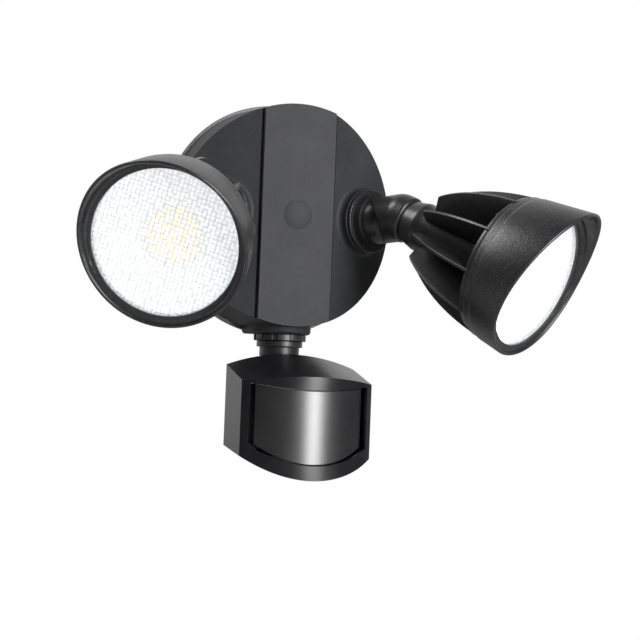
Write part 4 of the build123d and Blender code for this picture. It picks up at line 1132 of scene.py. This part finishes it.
    def fittings(self) -> None:
        """Arm base, elbow, screws and the pieces that keep their CAD shape."""
        side = self.arm.side.value
        stand_in(self.node("arm_base"), f"{side}_socket_drum", self.drum_edge, Finish.ARM, f"{side}_arm",
                 "lamp_paint")
        stand_in(self.node("elbow"), f"{side}_elbow_tube", self.elbow_edge, Finish.ARM, self.body, "lamp_paint")
        paint(Finish.STEEL, self.node("arm_washer"), self.node("arm_nut"), self.node("swivel_bolt"))
        paint(Finish.BLACK_STEEL, self.node("neck_screw"), self.node("bezel_screws"))
        paint(Finish.RUBBER, self.node("lens_gasket"), self.node("socket_seal"))

    def build(self) -> None:
        """Build the whole lamp."""
        self.visor()
        self.heat_sink()
        self.lens()
        self.lamp_board()
        self.fittings()


# ------------------------------------------------------------------------------------------- canopy and sensor
@dataclass
class Canopy:
    """Fixed casting, its plate, gasket, plug and what lies inside."""

    edge_mm: float = 0.9
    plug_r: float = 9.75
    plug_foot: float = 49.5
    plug_seat: float = 53.5
    plug_rise: float = 1.3
    plug_rings: int = 8
    plug_steps: int = 64

    def plug(self) -> None:
        """Low dome that closes the bolt's pocket."""
        inward = [ring / self.plug_rings for ring in range(self.plug_rings + 1)]
        dome = [(self.plug_r * (1.0 - part), self.plug_seat + self.plug_rise * (1.0 - (1.0 - part) ** 2))
                for part in inward]
        profile = [(0.0, self.plug_foot), (self.plug_r, self.plug_foot), *dome]
        place = Matrix.Rotation(math.radians(90.0), 4, "X") @ Matrix.Scale(MM, 4)
        dress(lathe("centre_plug", [profile] * self.plug_steps, place, closed=False), Finish.CANOPY, "canopy",
              "seal", "bolt_plug")

    def build(self) -> None:
        """Dress the canopy's pieces."""
        stand_in("housing_shell", "canopy_shell", self.edge_mm, Finish.CANOPY, "canopy", "canopy_paint")
        self.plug()
        paint(Finish.PLATE, "back_plate")
        paint(Finish.FOAM, "wall_gasket")
        paint(Finish.STEEL, "mounting_bracket", "centre_bolt", "plate_screws", "driver_screws")
        paint(Finish.GREEN_STEEL, "ground_screw")
        paint(Finish.CASE, "led_driver", "terminal_block")
        paint(Finish.RUBBER, "sensor_seal")


@dataclass
class SensorHead:
    """Motion sensor with its neck, glossy hood, dark window and dials."""

    hood_edge: float = 1.2
    shell_edge: float = 0.8
    window_edge: float = 0.5
    ring_edge: float = 0.3
    stem_edge: float = 0.5

    def build(self) -> None:
        """Dress the sensor's pieces."""
        stand_in("sensor_front_frame", "sensor_hood", self.hood_edge, Finish.FRAME_PLASTIC, "sensor_head",
                 "glossy_plastic")
        stand_in("sensor_rear_shell", "sensor_back", self.shell_edge, Finish.GLOSS, "sensor_head",
                 "glossy_plastic")
        stand_in("sensor_lens", "sensor_window", self.window_edge, Finish.SENSOR_WINDOW, "sensor_head",
                 "sensor_lens_plastic")
        stand_in("sensor_lock_ring", "neck_lock_ring", self.ring_edge, Finish.SATIN, "lock_ring", "neck_plastic")
        stand_in("sensor_stem", "neck_stem", self.stem_edge, Finish.SATIN, "sensor_neck", "neck_plastic")
        paint(Finish.SATIN, "dial_range", "dial_time", "sensor_stem_nut")
        paint(Finish.STEEL, "sensor_pivot_pin", "pir_element")
        paint(Finish.BLACK_STEEL, "sensor_screws")
        paint(Finish.GREEN_BOARD, "sensor_board")


# ------------------------------------------------------------------------------------------- studio
@dataclass(frozen=True)
class Softbox:
    """Rectangular lamp, with its place, aim, width and height in metres."""

    name: str
    where: Spot
    aim: Spot
    size: tuple[float, float]
    watts: float

    def build(self) -> None:
        """Hang the lamp in the room."""
        data = bpy.data.lights.new(self.name, "AREA")
        data.shape = "RECTANGLE"
        data.size, data.size_y = self.size
        data.energy = self.watts
        facing = (Vector(self.aim) - Vector(self.where)).to_track_quat("-Z", "Y").to_matrix().to_4x4()
        new_object(self.name, data).matrix_world = Matrix.Translation(Vector(self.where)) @ facing


@dataclass
class Studio:
    """White room, soft lamps and the camera; angles are in radians, the room in millimetres."""

    bearing: float = 0.3227
    distance: float = 1200.0
    camera_z: float = -116.55
    focal_px: float = 1716.41
    image_px: int = 640
    sensor_width: float = 36.0
    sight_m: float = 20.0
    roll: float = 0.03843
    yaw: float = 0.03005
    pitch: float = 0.04039
    floor_z: float = -330.0
    floor_half_m: float = 3.0
    floor_tones: tuple[Colour, Colour] = ((0.40, 0.40, 0.40), (0.43, 0.43, 0.43))
    front_light: float = 0.05
    back_light: float = 0.95
    dark_until: float = -0.1
    bright_from: float = 0.75
    key: Softbox = Softbox("key", (0.42, -1.28, 0.22), (0.0, -0.08, -0.06), (0.40, 1.3), 33.0)
    fill: Softbox = Softbox("fill", (-0.85, 0.12, 1.0), (0.05, -0.08, -0.03), (0.45, 0.6), 10.0)

    def camera(self) -> None:
        """Place the camera."""
        where = Vector((-math.sin(self.bearing) * self.distance, -math.cos(self.bearing) * self.distance,
                        self.camera_z)) * MM
        heading = self.bearing + self.yaw
        ahead = Vector((math.sin(heading) * math.cos(self.pitch), math.cos(heading) * math.cos(self.pitch),
                        math.sin(self.pitch)))
        right = ahead.cross(Vector((0, 0, 1))).normalized()
        up = right.cross(ahead)
        across = math.cos(self.roll) * right + math.sin(self.roll) * up
        upward = -math.sin(self.roll) * right + math.cos(self.roll) * up
        data = bpy.data.cameras.new("camera")
        data.sensor_width = self.sensor_width
        data.lens = self.focal_px / self.image_px * self.sensor_width
        data.clip_end = self.sight_m
        camera = new_object("camera", data)
        camera.matrix_world = Matrix.Translation(where) @ Matrix((across, upward, -ahead)).transposed().to_4x4()
        bpy.context.scene.camera = camera

    def world(self) -> None:
        """White surroundings for the camera, and light that grows from the front of the room to its back."""
        world = bpy.data.worlds.new("room")
        world.use_nodes = True
        room = NodeTree(world.node_tree)
        around = room.node("ShaderNodeTexCoord").outputs["Generated"]
        depth = room.node("ShaderNodeSeparateXYZ", {}, {0: around}).outputs["Y"]
        light = room.node("ShaderNodeMapRange", {"interpolation_type": "SMOOTHSTEP"}, {
            "Value": depth, "From Min": self.dark_until, "From Max": self.bright_from,
            "To Min": self.front_light, "To Max": self.back_light}).outputs["Result"]
        seen = room.node("ShaderNodeLightPath").outputs["Is Camera Ray"]
        strength = room.node("ShaderNodeMix", {"data_type": "FLOAT"}, {"Factor": seen, "A": light, "B": 1.0})
        ground = room.tree.nodes["Background"].inputs
        room.put(ground["Strength"], strength.outputs[0])
        room.put(ground["Color"], WHITE)
        bpy.context.scene.world = world

    def floor(self) -> None:
        """Pale floor below the light, plain white to the camera."""
        mesh = bpy.data.meshes.new("floor")
        half, z = self.floor_half_m, self.floor_z * MM
        mesh.from_pydata([(-half, -half, z), (half, -half, z), (half, half, z), (-half, half, z)], [],
                         [(0, 1, 2, 3)])
        made = new_object("floor", mesh)
        s = Shader("floor_white")
        s.set(Base_Color=s.blend(s.noise(3.0), *self.floor_tones), Roughness=0.8)
        glow = s.node("ShaderNodeEmission", {}, {"Color": WHITE, "Strength": 1.0})
        path = s.node("ShaderNodeLightPath")
        mix = s.node("ShaderNodeMixShader", {}, {0: path.outputs["Is Camera Ray"], 1: s.surface.outputs[0],
                                                 2: glow.outputs[0]})
        s.put(s.output.inputs["Surface"], mix.outputs[0])
        mesh.materials.append(s.material)

    def build(self) -> None:
        """Set up the room."""
        self.camera()
        self.world()
        self.floor()
        self.key.build()
        self.fill.build()
        bpy.context.scene.view_settings.view_transform = "Standard"


def main() -> None:
    """Build the light's looks in order and keep the sizes."""
    logging.basicConfig(level=logging.INFO, format="%(name)s: %(message)s")
    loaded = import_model()
    FRAME.nodes = loaded["nodes"]
    FRAME.joints = {joint["name"]: joint for joint in loaded["joints"]}
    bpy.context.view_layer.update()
    Studio().build()
    repeat = RadialRepeat()
    for side in Side:
        LampHead(Arm(side), repeat).build()
    Canopy().build()
    SensorHead().build()


if __name__ == "__main__":
    main()
